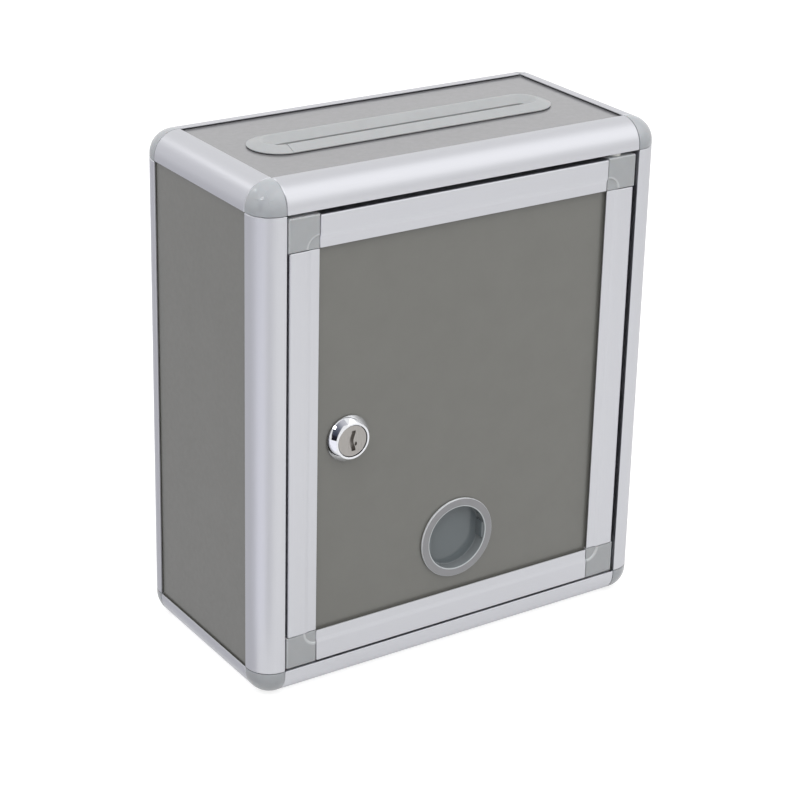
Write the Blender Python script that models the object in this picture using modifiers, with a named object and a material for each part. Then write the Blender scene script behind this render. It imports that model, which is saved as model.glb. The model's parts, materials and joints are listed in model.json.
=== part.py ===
# Suggestion box: an aluminium-framed case with a posting slot on top and a lockable front door.
# Metres, +Z up, the door faces -Y. The origin lies on the floor, under the middle of the whole
# outline, which runs from the nose of the lock to the back of the case.

import math

import bmesh
import bpy
from mathutils import Matrix, Vector

# Overall size of the case
BOX_WIDTH = 0.220
BOX_DEPTH = 0.110
BOX_HEIGHT = 0.250

# Fits shared by many pieces
SEAM = 0.0002
FIT_GAP = 0.0003
WELD_DISTANCE = 0.00001
OVERRUN = 0.002

# Edges that turn by more degrees than this are shaded as sharp ones
SHARP_ANGLE = 30

# Shape of a rounded edge: at a half it is a quarter circle
ROUND_SHARE = 0.5

# Section of the case's extruded edge profiles: a flat is left beside the rounded corner
FACE_WIDTH = 0.0135
FACE_FLAT = 0.0015
SKIN = 0.0012
LIP = 0.0010
CHAMBER_LIMIT = 0.0083
WEB = 0.0010
CORNER_STEPS = 8

# Panels of the case, and how they sit in their grooves
PANEL_THICKNESS = 0.003
PANEL_CLEARANCE = 0.00025

# Stop lip behind the closed door's free edge
STOP_GAP = 0.0010
STOP_THICKNESS = 0.0012
STOP_REACH = 0.0032

# Tenons that the plastic ball corners push into the profiles
TENON_LENGTH = 0.012

# Door, measured over its plastic corner pieces
DOOR_RECESS = 0.0008
DOOR_THICKNESS = 0.0085
DOOR_SIDE_GAP = 0.0013
DOOR_TOP_GAP = 0.0020
DOOR_BOTTOM_GAP = 0.0004
DOOR_CORNER = 0.0160
DOOR_CORNER_ROUNDING = 0.0006
DOOR_CORNER_STEPS = 2
DOOR_QUARTER_RADIUS = 0.0058
DOOR_QUARTER_STEPS = 8

# Section of the door's rails
RAIL_SETBACK = 0.0005
RAIL_EDGE_RADIUS = 0.0010
RAIL_EDGE_STEPS = 3
RAIL_BAND = 0.0100
RAIL_STEP = 0.0006
RAIL_STEP_RUN = 0.0004
RAIL_LIP = 0.0017
RAIL_BACK_LIP = 0.0012
RAIL_WALL = 0.0011
RAIL_GROOVE_DEPTH = 0.0055

# Pivot of the door
PIVOT_INSET = 0.0102
PIN_RADIUS = 0.0015
PIN_LENGTH_IN_DOOR = 0.008
PIN_END_GAP = 0.0003
WASHER_RADIUS = 0.0033
WASHER_GAP = 0.0001
SMALL_STEPS = 24

# Cam lock in the door panel: in from the door's free edge, and down from the door's middle
LOCK_INSET = 0.0331
LOCK_DROP = 0.0009
LOCK_SEAT_GAP = 0.0002
LOCK_NOSE = 0.0045
LOCK_BASE_RADIUS = 0.01125
LOCK_BASE_EDGE = 0.0005
LOCK_RIM_RADIUS = 0.0087
LOCK_RIM_WIDTH = 0.0009
LOCK_RIM_ROUNDING = 0.0002
LOCK_BARREL_RADIUS = 0.009
LOCK_BARREL_FLATS = 0.0160
LOCK_BARREL_LENGTH = 0.013
LOCK_BORE_RADIUS = 0.0065
LOCK_FACE_SEAT = 0.0021
LOCK_STEPS = 40
PLUG_SINK = 0.0004
PLUG_RUNNING_GAP = 0.0003
PLUG_EDGE = 0.0002
PLUG_FACE_THICKNESS = 0.0014
PLUG_TENON_SIZE = 0.007
KEYHOLE_HEIGHT = 0.0100
KEYHOLE_WIDTH = 0.0021
KEYHOLE_WAVE = 0.0006
KEYHOLE_DEPTH = 0.006
KEYHOLE_STEPS = 8
LOCK_WASHER_RADIUS = 0.0120
LOCK_WASHER_THICKNESS = 0.0008
LOCK_NUT_FLATS = 0.0230
LOCK_NUT_THICKNESS = 0.0040
CAM_THICKNESS = 0.002
CAM_WIDTH = 0.012
CAM_HOLD = 0.0056
CAM_CATCH_GAP = 0.0004
CAM_CRANK_START = 0.0115
CAM_CRANK_RUN = 0.003
CAM_END_ROUNDING = 0.003
CAM_END_STEPS = 4
SCREW_HEAD_RADIUS = 0.0040
SCREW_HEAD_THICKNESS = 0.0022
SCREW_HEAD_CROWN = 0.0006
SCREW_RADIUS = 0.0015
SCREW_LENGTH = 0.0075
SCREW_SLOT_WIDTH = 0.0009
SCREW_SLOT_DEPTH = 0.0009

# Round viewing window snapped into the middle of the door panel, up from the door's bottom
WINDOW_X = 0.0
WINDOW_RISE = 0.0431
WINDOW_FLANGE_RADIUS = 0.0202
WINDOW_FLANGE_THICKNESS = 0.0013
WINDOW_FLANGE_EDGE = 0.0004
WINDOW_BORE_RADIUS = 0.0160
WINDOW_WALL = 0.0012
WINDOW_DEPTH = 0.0055
WINDOW_PANE = 0.0014
WINDOW_BEAD = 0.0006
WINDOW_TAB_HEIGHT = 0.0085
WINDOW_TAB_REACH = 0.0014
WINDOW_TAB_SINK = 0.0006
WINDOW_STEPS = 56

# Posting slot and its moulded trim, which sits a little left of the middle and ends short of the frame
SLOT_X = -0.0011
TRIM_END_MARGIN = 0.0144
SLOT_HALF_WIDTH = 0.0024
TRIM_RADIUS = 0.0145
TRIM_EDGE_HEIGHT = 0.0009
TRIM_RIDGE_HEIGHT = 0.0031
TRIM_RIDGE_RADIUS = 0.0080
TRIM_RIDGE_ROUNDING = 0.0010
TRIM_MOUTH_HEIGHT = 0.0003
TRIM_WALL = 0.0013
TRIM_SKIRT = 0.008
TRIM_BEAD = 0.0006
TRIM_BEAD_HEIGHT = 0.0006
TRIM_END_STEPS = 12
TRIM_RIDGE_STEPS = 4

# Two keyhole slots for hanging the case on a wall, down from its top
HANGER_SPACING = 0.120
HANGER_DROP = 0.050
HANGER_HEAD_RADIUS = 0.0045
HANGER_NECK_RADIUS = 0.0024
HANGER_NECK_RISE = 0.009
HANGER_STEPS = 16

# Places worked out from the sizes above
CORNER_RADIUS = FACE_WIDTH - FACE_FLAT
STOP_DEPTH = DOOR_RECESS + DOOR_THICKNESS + STOP_GAP
GROOVE_WIDTH = PANEL_THICKNESS + 2 * PANEL_CLEARANCE
PANEL_SINK = LIP + PANEL_CLEARANCE
GROOVE_FLOOR = CHAMBER_LIMIT + WEB
GROOVE_BACK = LIP + GROOVE_WIDTH
INNER_LIP_BACK = GROOVE_BACK + LIP
PANEL_INSET = GROOVE_FLOOR + FIT_GAP
NOTCH_INSET = FACE_WIDTH + SEAM

PANEL_FACE_DEPTH = DOOR_RECESS + RAIL_STEP + RAIL_LIP + FIT_GAP
LOCK_PROUD = LOCK_SEAT_GAP + LOCK_NOSE - PANEL_FACE_DEPTH
FRONT_Y = -(BOX_DEPTH - LOCK_PROUD) / 2
BACK_Y = FRONT_Y + BOX_DEPTH
SIDE_X = BOX_WIDTH / 2

DOOR_Y = FRONT_Y + DOOR_RECESS
DOOR_HALF_WIDTH = SIDE_X - FACE_WIDTH - DOOR_SIDE_GAP
DOOR_BOTTOM = FACE_WIDTH + DOOR_BOTTOM_GAP
DOOR_TOP = BOX_HEIGHT - FACE_WIDTH - DOOR_TOP_GAP
DOOR_MIDDLE = (DOOR_BOTTOM + DOOR_TOP) / 2
DOOR_PANEL_Y = FRONT_Y + PANEL_FACE_DEPTH
RAIL_WIDTH = DOOR_CORNER - RAIL_SETBACK
RAIL_GROOVE_FLOOR = RAIL_WIDTH - RAIL_GROOVE_DEPTH
RAIL_CHAMBER_LIMIT = RAIL_GROOVE_FLOOR - RAIL_WALL

LOCK_X = LOCK_INSET - DOOR_HALF_WIDTH
LOCK_Z = DOOR_MIDDLE - LOCK_DROP
CAM_REACH = LOCK_INSET + DOOR_SIDE_GAP + CAM_HOLD
WINDOW_Z = DOOR_BOTTOM + WINDOW_RISE
SLOT_HALF_LENGTH = SIDE_X - FACE_WIDTH - TRIM_END_MARGIN - TRIM_RADIUS

PIVOT_X = DOOR_HALF_WIDTH - PIVOT_INSET
PIVOT_Y = DOOR_Y + DOOR_THICKNESS / 2
PIN_HOLE_RADIUS = PIN_RADIUS + FIT_GAP

TRIM_SKIRT_RADIUS = SLOT_HALF_WIDTH + TRIM_WALL
WINDOW_BARREL_RADIUS = WINDOW_BORE_RADIUS + WINDOW_WALL

X_AXIS = Vector((1, 0, 0))
Y_AXIS = Vector((0, 1, 0))
Z_AXIS = Vector((0, 0, 1))


# Scene, collections and materials

for leftover in list(bpy.data.objects):
    bpy.data.objects.remove(leftover, do_unlink=True)

parts = bpy.data.collections.new("suggestion_box")
cutters = bpy.data.collections.new("cutters")
bpy.context.scene.collection.children.link(parts)
bpy.context.scene.collection.children.link(cutters)


def make_material(name, colour, roughness, metallic=0.0, alpha=1.0):
    material = bpy.data.materials.new(name)
    material.use_nodes = True
    shader = material.node_tree.nodes["Principled BSDF"]
    shader.inputs["Base Color"].default_value = (*colour, 1)
    shader.inputs["Roughness"].default_value = roughness
    shader.inputs["Metallic"].default_value = metallic
    shader.inputs["Alpha"].default_value = alpha
    return material


anodised = make_material("satin_anodised_aluminium", (0.62, 0.63, 0.66), 0.35, 1.0)
corner_plastic = make_material("grey_corner_plastic", (0.36, 0.38, 0.40), 0.40)
panel_grey = make_material("grey_panel", (0.19, 0.19, 0.175), 0.38)
trim_plastic = make_material("pale_trim_plastic", (0.53, 0.56, 0.58), 0.42)
washer_plastic = make_material("white_nylon", (0.75, 0.75, 0.73), 0.45)
clear_plastic = make_material("clear_plastic", (0.75, 0.78, 0.80), 0.10, 0.0, 0.4)
chrome = make_material("chrome_plate", (0.75, 0.76, 0.78), 0.08, 1.0)
plug_metal = make_material("satin_nickel", (0.60, 0.58, 0.55), 0.30, 1.0)
zinc = make_material("zinc_plated_steel", (0.52, 0.54, 0.57), 0.28, 1.0)


# Helpers that make, place and cut meshes

def arc(centre_x, centre_y, radius, start, end, steps):
    """Points along an arc, both ends included, angles in degrees."""
    points = []
    for step in range(steps + 1):
        angle = math.radians(start + (end - start) * step / steps)
        points.append((centre_x + radius * math.cos(angle), centre_y + radius * math.sin(angle)))
    return points


def circle(centre_x, centre_y, radius, steps):
    return arc(centre_x, centre_y, radius, 0, 360, steps)[:-1]


def stadium(half_length, radius, steps):
    """Outline of a slot with round ends, about the origin, its length along X."""
    right = arc(half_length, 0, radius, -90, 90, steps)
    left = arc(-half_length, 0, radius, 90, 270, steps)
    return right + left


def notched_rectangle(half_x, half_y, notch_x, notch_y):
    """Rectangle about the origin whose corners are cut out square, back to notch_x and notch_y."""
    quarter = [(half_x, notch_y), (notch_x, notch_y), (notch_x, half_y)]
    mirrored = [(-x, y) for x, y in reversed(quarter)]
    top = quarter + mirrored
    bottom = [(-x, -y) for x, y in top]
    return top + bottom


def add_object(name, mesh, material=None, collection=parts):
    thing = bpy.data.objects.new(name, mesh)
    collection.objects.link(thing)
    if material:
        mesh.materials.clear()
        mesh.materials.append(material)
    return thing


def frozen(thing):
    """Replace an object by the welded mesh it shows, with its modifiers or curve applied."""
    bpy.context.view_layer.update()
    evaluated = thing.evaluated_get(bpy.context.evaluated_depsgraph_get())
    mesh = bpy.data.meshes.new_from_object(evaluated)
    name = thing.name
    bpy.data.objects.remove(thing)
    work = bmesh.new()
    work.from_mesh(mesh)
    bmesh.ops.remove_doubles(work, verts=work.verts, dist=WELD_DISTANCE)
    bmesh.ops.recalc_face_normals(work, faces=work.faces)
    work.to_mesh(mesh)
    work.free()
    mesh.name = name
    return mesh


def extrusion(name, outlines, length, material=None, collection=parts):
    """Flat outlines, the first the outside and the others holes, drawn out along local Z."""
    curve = bpy.data.curves.new(name, "CURVE")
    curve.dimensions = "2D"
    curve.fill_mode = "BOTH"
    curve.extrude = length / 2
    for outline in outlines:
        spline = curve.splines.new("POLY")
        spline.points.add(len(outline) - 1)
        for point, (x, y) in zip(spline.points, outline):
            point.co = (x, y, 0, 1)
        spline.use_cyclic_u = True
    return add_object(name, frozen(add_object(name, curve)), material, collection)


def turned(name, profile, steps, material=None, closed=True, collection=parts):
    """A profile of (radius, height) points, drawn down its outer side, turned about local Z."""
    mesh = bpy.data.meshes.new(name)
    corners = [(radius, 0, height) for radius, height in profile]
    edges = [(index, index + 1) for index in range(len(corners) - 1)]
    if closed:
        edges.append((len(corners) - 1, 0))
    mesh.from_pydata(corners, edges, [])
    thing = add_object(name, mesh)
    screw = thing.modifiers.new("turn", "SCREW")
    screw.steps = steps
    screw.render_steps = steps
    screw.use_merge_vertices = True
    screw.merge_threshold = WELD_DISTANCE
    mesh = frozen(thing)
    mesh.shade_smooth()
    mesh.set_sharp_from_angle(angle=math.radians(SHARP_ANGLE))
    return add_object(name, mesh, material, collection)


def block(name, low, high, material=None, collection=parts):
    """Box between two opposite corners."""
    mesh = bpy.data.meshes.new(name)
    work = bmesh.new()
    bmesh.ops.create_cube(work, size=1)
    size = Vector(high) - Vector(low)
    bmesh.ops.scale(work, vec=size, verts=work.verts)
    bmesh.ops.translate(work, vec=(Vector(low) + Vector(high)) / 2, verts=work.verts)
    work.to_mesh(mesh)
    work.free()
    return add_object(name, mesh, material, collection)


def place(thing, origin, x_axis, y_axis):
    """Lay an object's local X and Y along two world directions at right angles."""
    x_axis = Vector(x_axis)
    y_axis = Vector(y_axis)
    turn = Matrix((x_axis, y_axis, x_axis.cross(y_axis))).transposed().to_4x4()
    thing.matrix_world = Matrix.Translation(origin) @ turn
    return thing


def combine(thing, tool, operation="DIFFERENCE"):
    """Cut a tool out of an object, or join it on, and keep the tool as a hidden guide."""
    boolean = thing.modifiers.new(operation.lower(), "BOOLEAN")
    boolean.operation = operation
    boolean.solver = "EXACT"
    boolean.object = tool
    tool.hide_render = True
    tool.display_type = "WIRE"


def round_edges(mesh, picked, width, steps):
    """Round the edges of a mesh that picked() chooses from their two ends."""
    work = bmesh.new()
    work.from_mesh(mesh)
    edges = [edge for edge in work.edges if picked(edge.verts[0].co, edge.verts[1].co)]
    bmesh.ops.bevel(work, geom=edges, offset=width, segments=steps, profile=ROUND_SHARE, affect="EDGES")
    work.to_mesh(mesh)
    work.free()


# Edge profiles of the case
# A section is drawn with its outer corner at zero: u runs inwards along one outer face, and v
# along the other. Both outer faces meet in the quarter round that shows on every edge.

def quarter_round():
    """The rounded outer corner, from the u side to the v side."""
    return arc(CORNER_RADIUS, CORNER_RADIUS, CORNER_RADIUS, 270, 180, CORNER_STEPS)


def chamber(shrink):
    """The hollow behind the quarter round, or with a shrink the tenon that slides into it."""
    limit = CHAMBER_LIMIT - shrink
    radius = CORNER_RADIUS - SKIN - shrink
    reach = math.degrees(math.asin((CORNER_RADIUS - limit) / radius))
    curve = arc(CORNER_RADIUS, CORNER_RADIUS, radius, 270 - reach, 180 + reach, CORNER_STEPS)
    return [(limit, limit)] + curve


def panel_groove():
    """Outline of the groove that holds a panel beside the v side, from its mouth round and back."""
    return [
        (0, FACE_WIDTH),
        (LIP, FACE_WIDTH),
        (LIP, GROOVE_FLOOR),
        (GROOVE_BACK, GROOVE_FLOOR),
        (GROOVE_BACK, FACE_WIDTH),
        (INNER_LIP_BACK, FACE_WIDTH),
    ]


def two_groove_section():
    """Section with a panel groove on both sides."""
    groove = panel_groove()
    mirrored = [(v, u) for u, v in reversed(groove)]
    return [quarter_round() + groove + [(INNER_LIP_BACK, GROOVE_FLOOR), (GROOVE_FLOOR, GROOVE_FLOOR)]
            + [(GROOVE_FLOOR, INNER_LIP_BACK)] + mirrored, chamber(0)]


def door_section(has_stop):
    """Section beside the door opening: one panel groove, a box wall, and a stop lip or none."""
    back = STOP_DEPTH + STOP_THICKNESS
    opening_side = [(INNER_LIP_BACK, back)]
    if has_stop:
        reach = FACE_WIDTH + STOP_REACH
        opening_side += [(reach, back), (reach, STOP_DEPTH), (FACE_WIDTH, STOP_DEPTH)]
    else:
        opening_side += [(FACE_WIDTH, back)]
    opening_side += [(FACE_WIDTH, 0)]
    inner = FACE_WIDTH - SKIN
    box = [(GROOVE_FLOOR, SKIN), (inner, SKIN), (inner, STOP_DEPTH), (GROOVE_FLOOR, STOP_DEPTH)]
    return [quarter_round() + panel_groove() + opening_side, chamber(0), box]


def edge_profile(name, section, length, origin, u_axis, v_axis):
    """One cut length of profile, with its outer corner through the origin."""
    return place(extrusion(name, section, length, anodised), origin, u_axis, v_axis)


def build_edge_profiles():
    middle_y = (FRONT_Y + BACK_Y) / 2
    middle_z = BOX_HEIGHT / 2
    post_length = BOX_HEIGHT - 2 * NOTCH_INSET
    width_length = BOX_WIDTH - 2 * NOTCH_INSET
    depth_length = BOX_DEPTH - 2 * NOTCH_INSET
    plain = two_groove_section()
    stopped = door_section(True)
    open_side = door_section(False)
    for side, sign in (("left", -1), ("right", 1)):
        inward = -sign * X_AXIS
        front_section = stopped if sign < 0 else open_side
        front = (sign * SIDE_X, FRONT_Y, middle_z)
        back = (sign * SIDE_X, BACK_Y, middle_z)
        edge_profile("post_front_" + side, front_section, post_length, front, inward, Y_AXIS)
        edge_profile("post_back_" + side, plain, post_length, back, inward, -Y_AXIS)
        for level, height, upward in (("top", BOX_HEIGHT, -Z_AXIS), ("bottom", 0, Z_AXIS)):
            corner = (sign * SIDE_X, middle_y, height)
            edge_profile("rail_" + level + "_" + side, plain, depth_length, corner, inward, upward)
    for level, height, upward in (("top", BOX_HEIGHT, -Z_AXIS), ("bottom", 0, Z_AXIS)):
        front = (0, FRONT_Y, height)
        back = (0, BACK_Y, height)
        edge_profile("rail_" + level + "_front", open_side, width_length, front, upward, Y_AXIS)
        edge_profile("rail_" + level + "_back", plain, width_length, back, upward, -Y_AXIS)


# Ball corners: a cube with a ball-shaped outer corner and three tenons

def ball_corner_mesh():
    cube = block("ball_corner", (0, 0, 0), (FACE_WIDTH, FACE_WIDTH, FACE_WIDTH))

    def meets_outer_corner(first, second):
        return min(first.length, second.length) < WELD_DISTANCE

    round_edges(cube.data, meets_outer_corner, CORNER_RADIUS, CORNER_STEPS)
    start = CORNER_RADIUS / 2
    end = NOTCH_INSET + TENON_LENGTH
    for axes in ((X_AXIS, Y_AXIS), (Y_AXIS, Z_AXIS), (Z_AXIS, X_AXIS)):
        tenon = extrusion("tenon", [chamber(FIT_GAP)], end - start, collection=cutters)
        place(tenon, axes[0].cross(axes[1]) * (start + end) / 2, *axes)
        combine(cube, tenon, "UNION")
    mesh = frozen(cube)
    for tenon in list(cutters.objects):
        bpy.data.objects.remove(tenon)
    mesh.shade_smooth()
    mesh.set_sharp_from_angle(angle=math.radians(SHARP_ANGLE))
    return mesh


def build_ball_corners():
    mesh = ball_corner_mesh()
    for level, height, upward in (("top", BOX_HEIGHT, -Z_AXIS), ("bottom", 0, Z_AXIS)):
        for face, depth, inward_y in (("front", FRONT_Y, Y_AXIS), ("back", BACK_Y, -Y_AXIS)):
            for side, sign in (("left", -1), ("right", 1)):
                name = "ball_" + level + "_" + face + "_" + side
                inward_x = -sign * X_AXIS
                axes = (inward_x, inward_y)
                if inward_x.cross(inward_y).dot(upward) < 0:
                    axes = (inward_y, inward_x)
                place(add_object(name, mesh, corner_plastic), (sign * SIDE_X, depth, height), *axes)


# Panels of the case

def build_case_panels():
    half_x = SIDE_X - PANEL_INSET
    half_y = BOX_DEPTH / 2 - PANEL_INSET
    half_z = BOX_HEIGHT / 2 - PANEL_INSET
    notch_x = SIDE_X - NOTCH_INSET
    notch_y = BOX_DEPTH / 2 - NOTCH_INSET
    notch_z = BOX_HEIGHT / 2 - NOTCH_INSET
    middle_y = (FRONT_Y + BACK_Y) / 2
    middle_z = BOX_HEIGHT / 2
    sink = PANEL_SINK + PANEL_THICKNESS / 2

    side = notched_rectangle(half_y, half_z, notch_y, notch_z)
    for name, sign in (("panel_left", -1), ("panel_right", 1)):
        sheet = extrusion(name, [side], PANEL_THICKNESS, panel_grey)
        place(sheet, (sign * (SIDE_X - sink), middle_y, middle_z), Y_AXIS, Z_AXIS)

    flat = notched_rectangle(half_x, half_y, notch_x, notch_y)
    slot = stadium(SLOT_HALF_LENGTH, TRIM_SKIRT_RADIUS + FIT_GAP, TRIM_END_STEPS)
    cutout = [(x + SLOT_X, y) for x, y in slot]
    top = extrusion("panel_top", [flat, cutout], PANEL_THICKNESS, panel_grey)
    place(top, (0, middle_y, BOX_HEIGHT - sink), X_AXIS, Y_AXIS)
    bottom = extrusion("panel_bottom", [flat], PANEL_THICKNESS, panel_grey)
    place(bottom, (0, middle_y, sink), X_AXIS, Y_AXIS)

    upright = notched_rectangle(half_x, half_z, notch_x, notch_z)
    hanger_z = BOX_HEIGHT - HANGER_DROP - middle_z
    holes = [hanger_outline(sign * HANGER_SPACING / 2, hanger_z) for sign in (-1, 1)]
    back = extrusion("panel_back", [upright] + holes, PANEL_THICKNESS, panel_grey)
    place(back, (0, BACK_Y - sink, middle_z), X_AXIS, Z_AXIS)


def hanger_outline(x, y):
    """Keyhole: a round hole for a screw's head, with a narrow neck above it for its shank."""
    lean = math.degrees(math.acos(HANGER_NECK_RADIUS / HANGER_HEAD_RADIUS))
    head = arc(x, y, HANGER_HEAD_RADIUS, 180 - lean, 360 + lean, HANGER_STEPS)
    neck = arc(x, y + HANGER_NECK_RISE, HANGER_NECK_RADIUS, 0, 180, HANGER_STEPS // 2)
    return head + neck


# Posting slot trim: one moulded section carried round a slot with round ends

def trim_ridge(outer, peak, inner):
    """Two slopes and the ridge between them, rounded by a curve that starts down each slope."""
    start = peak + (outer - peak).normalized() * TRIM_RIDGE_ROUNDING
    end = peak + (inner - peak).normalized() * TRIM_RIDGE_ROUNDING
    points = [tuple(outer)]
    for step in range(TRIM_RIDGE_STEPS + 1):
        share = step / TRIM_RIDGE_STEPS
        spot = start * (1 - share) ** 2 + peak * 2 * share * (1 - share) + end * share ** 2
        points.append(tuple(spot))
    return points + [tuple(inner)]


def trim_section():
    """Section of the trim: radius from the slot's middle line, height above the top panel."""
    outer = Vector((TRIM_RADIUS, TRIM_EDGE_HEIGHT))
    peak = Vector((TRIM_RIDGE_RADIUS, TRIM_RIDGE_HEIGHT))
    inner = Vector((SLOT_HALF_WIDTH, TRIM_MOUTH_HEIGHT))
    crown = trim_ridge(outer, peak, inner)
    bead_top = -PANEL_THICKNESS - FIT_GAP
    skirt = [
        (SLOT_HALF_WIDTH, -TRIM_SKIRT),
        (TRIM_SKIRT_RADIUS, -TRIM_SKIRT),
        (TRIM_SKIRT_RADIUS, bead_top - 3 * TRIM_BEAD_HEIGHT),
        (TRIM_SKIRT_RADIUS + TRIM_BEAD, bead_top - TRIM_BEAD_HEIGHT),
        (TRIM_SKIRT_RADIUS + TRIM_BEAD, bead_top),
        (TRIM_SKIRT_RADIUS, bead_top),
        (TRIM_SKIRT_RADIUS, PANEL_CLEARANCE),
        (TRIM_RADIUS, PANEL_CLEARANCE),
    ]
    return crown + skirt


def build_slot_trim():
    section = trim_section()
    mesh = bpy.data.meshes.new("slot_trim")
    work = bmesh.new()
    rings = []
    for radius, height in section:
        loop = stadium(SLOT_HALF_LENGTH, radius, TRIM_END_STEPS)
        rings.append([work.verts.new((x, y, height)) for x, y in loop])
    for first, second in zip(rings, rings[1:] + rings[:1]):
        for index in range(len(first)):
            following = (index + 1) % len(first)
            work.faces.new((first[index], first[following], second[following], second[index]))
    bmesh.ops.recalc_face_normals(work, faces=work.faces)
    work.to_mesh(mesh)
    work.free()
    mesh.shade_smooth()
    mesh.set_sharp_from_angle(angle=math.radians(SHARP_ANGLE))
    trim = add_object("slot_trim", mesh, trim_plastic)
    place(trim, (SLOT_X, (FRONT_Y + BACK_Y) / 2, BOX_HEIGHT - PANEL_SINK), X_AXIS, Y_AXIS)


# Door: four rails, four corner pieces and a panel, turning on two pins
# The pieces of the door are children of an empty that stands on the hinge's axis.

def rail_section():
    """Section of a door rail: u from its outer edge towards the panel, v from its face back."""
    lip_back = RAIL_STEP + RAIL_LIP
    groove_back = lip_back + PANEL_THICKNESS + 2 * FIT_GAP
    outer = arc(RAIL_EDGE_RADIUS, RAIL_EDGE_RADIUS, RAIL_EDGE_RADIUS, 180, 270, RAIL_EDGE_STEPS) + [
        (RAIL_BAND, 0),
        (RAIL_BAND + RAIL_STEP_RUN, RAIL_STEP),
        (RAIL_WIDTH, RAIL_STEP),
        (RAIL_WIDTH, lip_back),
        (RAIL_GROOVE_FLOOR, lip_back),
        (RAIL_GROOVE_FLOOR, groove_back),
        (RAIL_WIDTH, groove_back),
        (RAIL_WIDTH, groove_back + RAIL_BACK_LIP),
        (RAIL_GROOVE_FLOOR, groove_back + RAIL_BACK_LIP),
        (RAIL_GROOVE_FLOOR, DOOR_THICKNESS),
        (0, DOOR_THICKNESS),
    ]
    return [outer, rail_chamber(0)]


def rail_chamber(shrink):
    """The hollow of a door rail, or with a shrink the tenon that slides into it."""
    low = RAIL_WALL + shrink
    high_u = RAIL_CHAMBER_LIMIT - shrink
    high_v = DOOR_THICKNESS - RAIL_WALL - shrink
    return [(low, low), (high_u, low), (high_u, high_v), (low, high_v)]


def build_door_rails():
    section = rail_section()
    width = 2 * (DOOR_HALF_WIDTH - DOOR_CORNER - SEAM)
    height = DOOR_TOP - DOOR_BOTTOM - 2 * (DOOR_CORNER + SEAM)
    for side, sign in (("left", -1), ("right", 1)):
        stile = extrusion("door_stile_" + side, section, height, anodised)
        edge = sign * (DOOR_HALF_WIDTH - RAIL_SETBACK)
        place(stile, (edge, DOOR_Y, DOOR_MIDDLE), -sign * X_AXIS, Y_AXIS)
    for level, edge, inward in (("top", DOOR_TOP - RAIL_SETBACK, -Z_AXIS),
                                ("bottom", DOOR_BOTTOM + RAIL_SETBACK, Z_AXIS)):
        rail = extrusion("door_rail_" + level, section, width, anodised)
        place(rail, (0, DOOR_Y, edge), inward, Y_AXIS)


def door_corner_mesh():
    """Square corner piece with a sunk quarter circle at its inner corner and two tenons."""
    piece = block("door_corner", (0, 0, 0), (DOOR_CORNER, DOOR_CORNER, DOOR_THICKNESS))

    def on_outer_rim(first, second):
        on_face = max(first.z, second.z) < WELD_DISTANCE
        on_side = max(first.x, second.x) < WELD_DISTANCE or max(first.y, second.y) < WELD_DISTANCE
        upright = abs(first.z - second.z) > WELD_DISTANCE and (first + second).xy.length < WELD_DISTANCE
        return (on_face and on_side) or upright

    round_edges(piece.data, on_outer_rim, DOOR_CORNER_ROUNDING, DOOR_CORNER_STEPS)
    sink = turned("quarter_sink", [(0, RAIL_STEP), (DOOR_QUARTER_RADIUS, RAIL_STEP),
                                   (DOOR_QUARTER_RADIUS, -OVERRUN), (0, -OVERRUN)],
                  4 * DOOR_QUARTER_STEPS, closed=False, collection=cutters)
    sink.location = (DOOR_CORNER, DOOR_CORNER, 0)
    combine(piece, sink)
    start = DOOR_CORNER / 2
    end = DOOR_CORNER + SEAM + TENON_LENGTH
    outline = [(u + RAIL_SETBACK, v) for u, v in rail_chamber(FIT_GAP)]
    across = extrusion("tenon", [outline], end - start, collection=cutters)
    place(across, X_AXIS * (start + end) / 2, Y_AXIS, Z_AXIS)
    combine(piece, across, "UNION")
    flipped = extrusion("tenon", [[(v, u) for u, v in outline]], end - start, collection=cutters)
    place(flipped, Y_AXIS * (start + end) / 2, Z_AXIS, X_AXIS)
    combine(piece, flipped, "UNION")
    mesh = frozen(piece)
    for tool in list(cutters.objects):
        bpy.data.objects.remove(tool)
    mesh.shade_smooth()
    mesh.set_sharp_from_angle(angle=math.radians(SHARP_ANGLE))
    return mesh


def build_door_corners():
    mesh = door_corner_mesh()
    for level, height, inward_z in (("top", DOOR_TOP, -Z_AXIS), ("bottom", DOOR_BOTTOM, Z_AXIS)):
        for side, sign in (("left", -1), ("right", 1)):
            inward_x = -sign * X_AXIS
            axes = (inward_x, inward_z)
            if inward_x.cross(inward_z).dot(Y_AXIS) < 0:
                axes = (inward_z, inward_x)
            corner = add_object("door_corner_" + level + "_" + side, mesh, corner_plastic)
            place(corner, (sign * DOOR_HALF_WIDTH, DOOR_Y, height), *axes)


def lock_hole_outline():
    """Round hole with two flats, which keeps the lock's barrel from turning."""
    radius = LOCK_BARREL_RADIUS + FIT_GAP
    flat = LOCK_BARREL_FLATS / 2 + FIT_GAP
    lean = math.degrees(math.acos(flat / radius))
    x = LOCK_X
    y = LOCK_Z - DOOR_MIDDLE
    steps = LOCK_STEPS // 2
    return arc(x, y, radius, lean, 180 - lean, steps) + arc(x, y, radius, 180 + lean, 360 - lean, steps)


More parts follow.
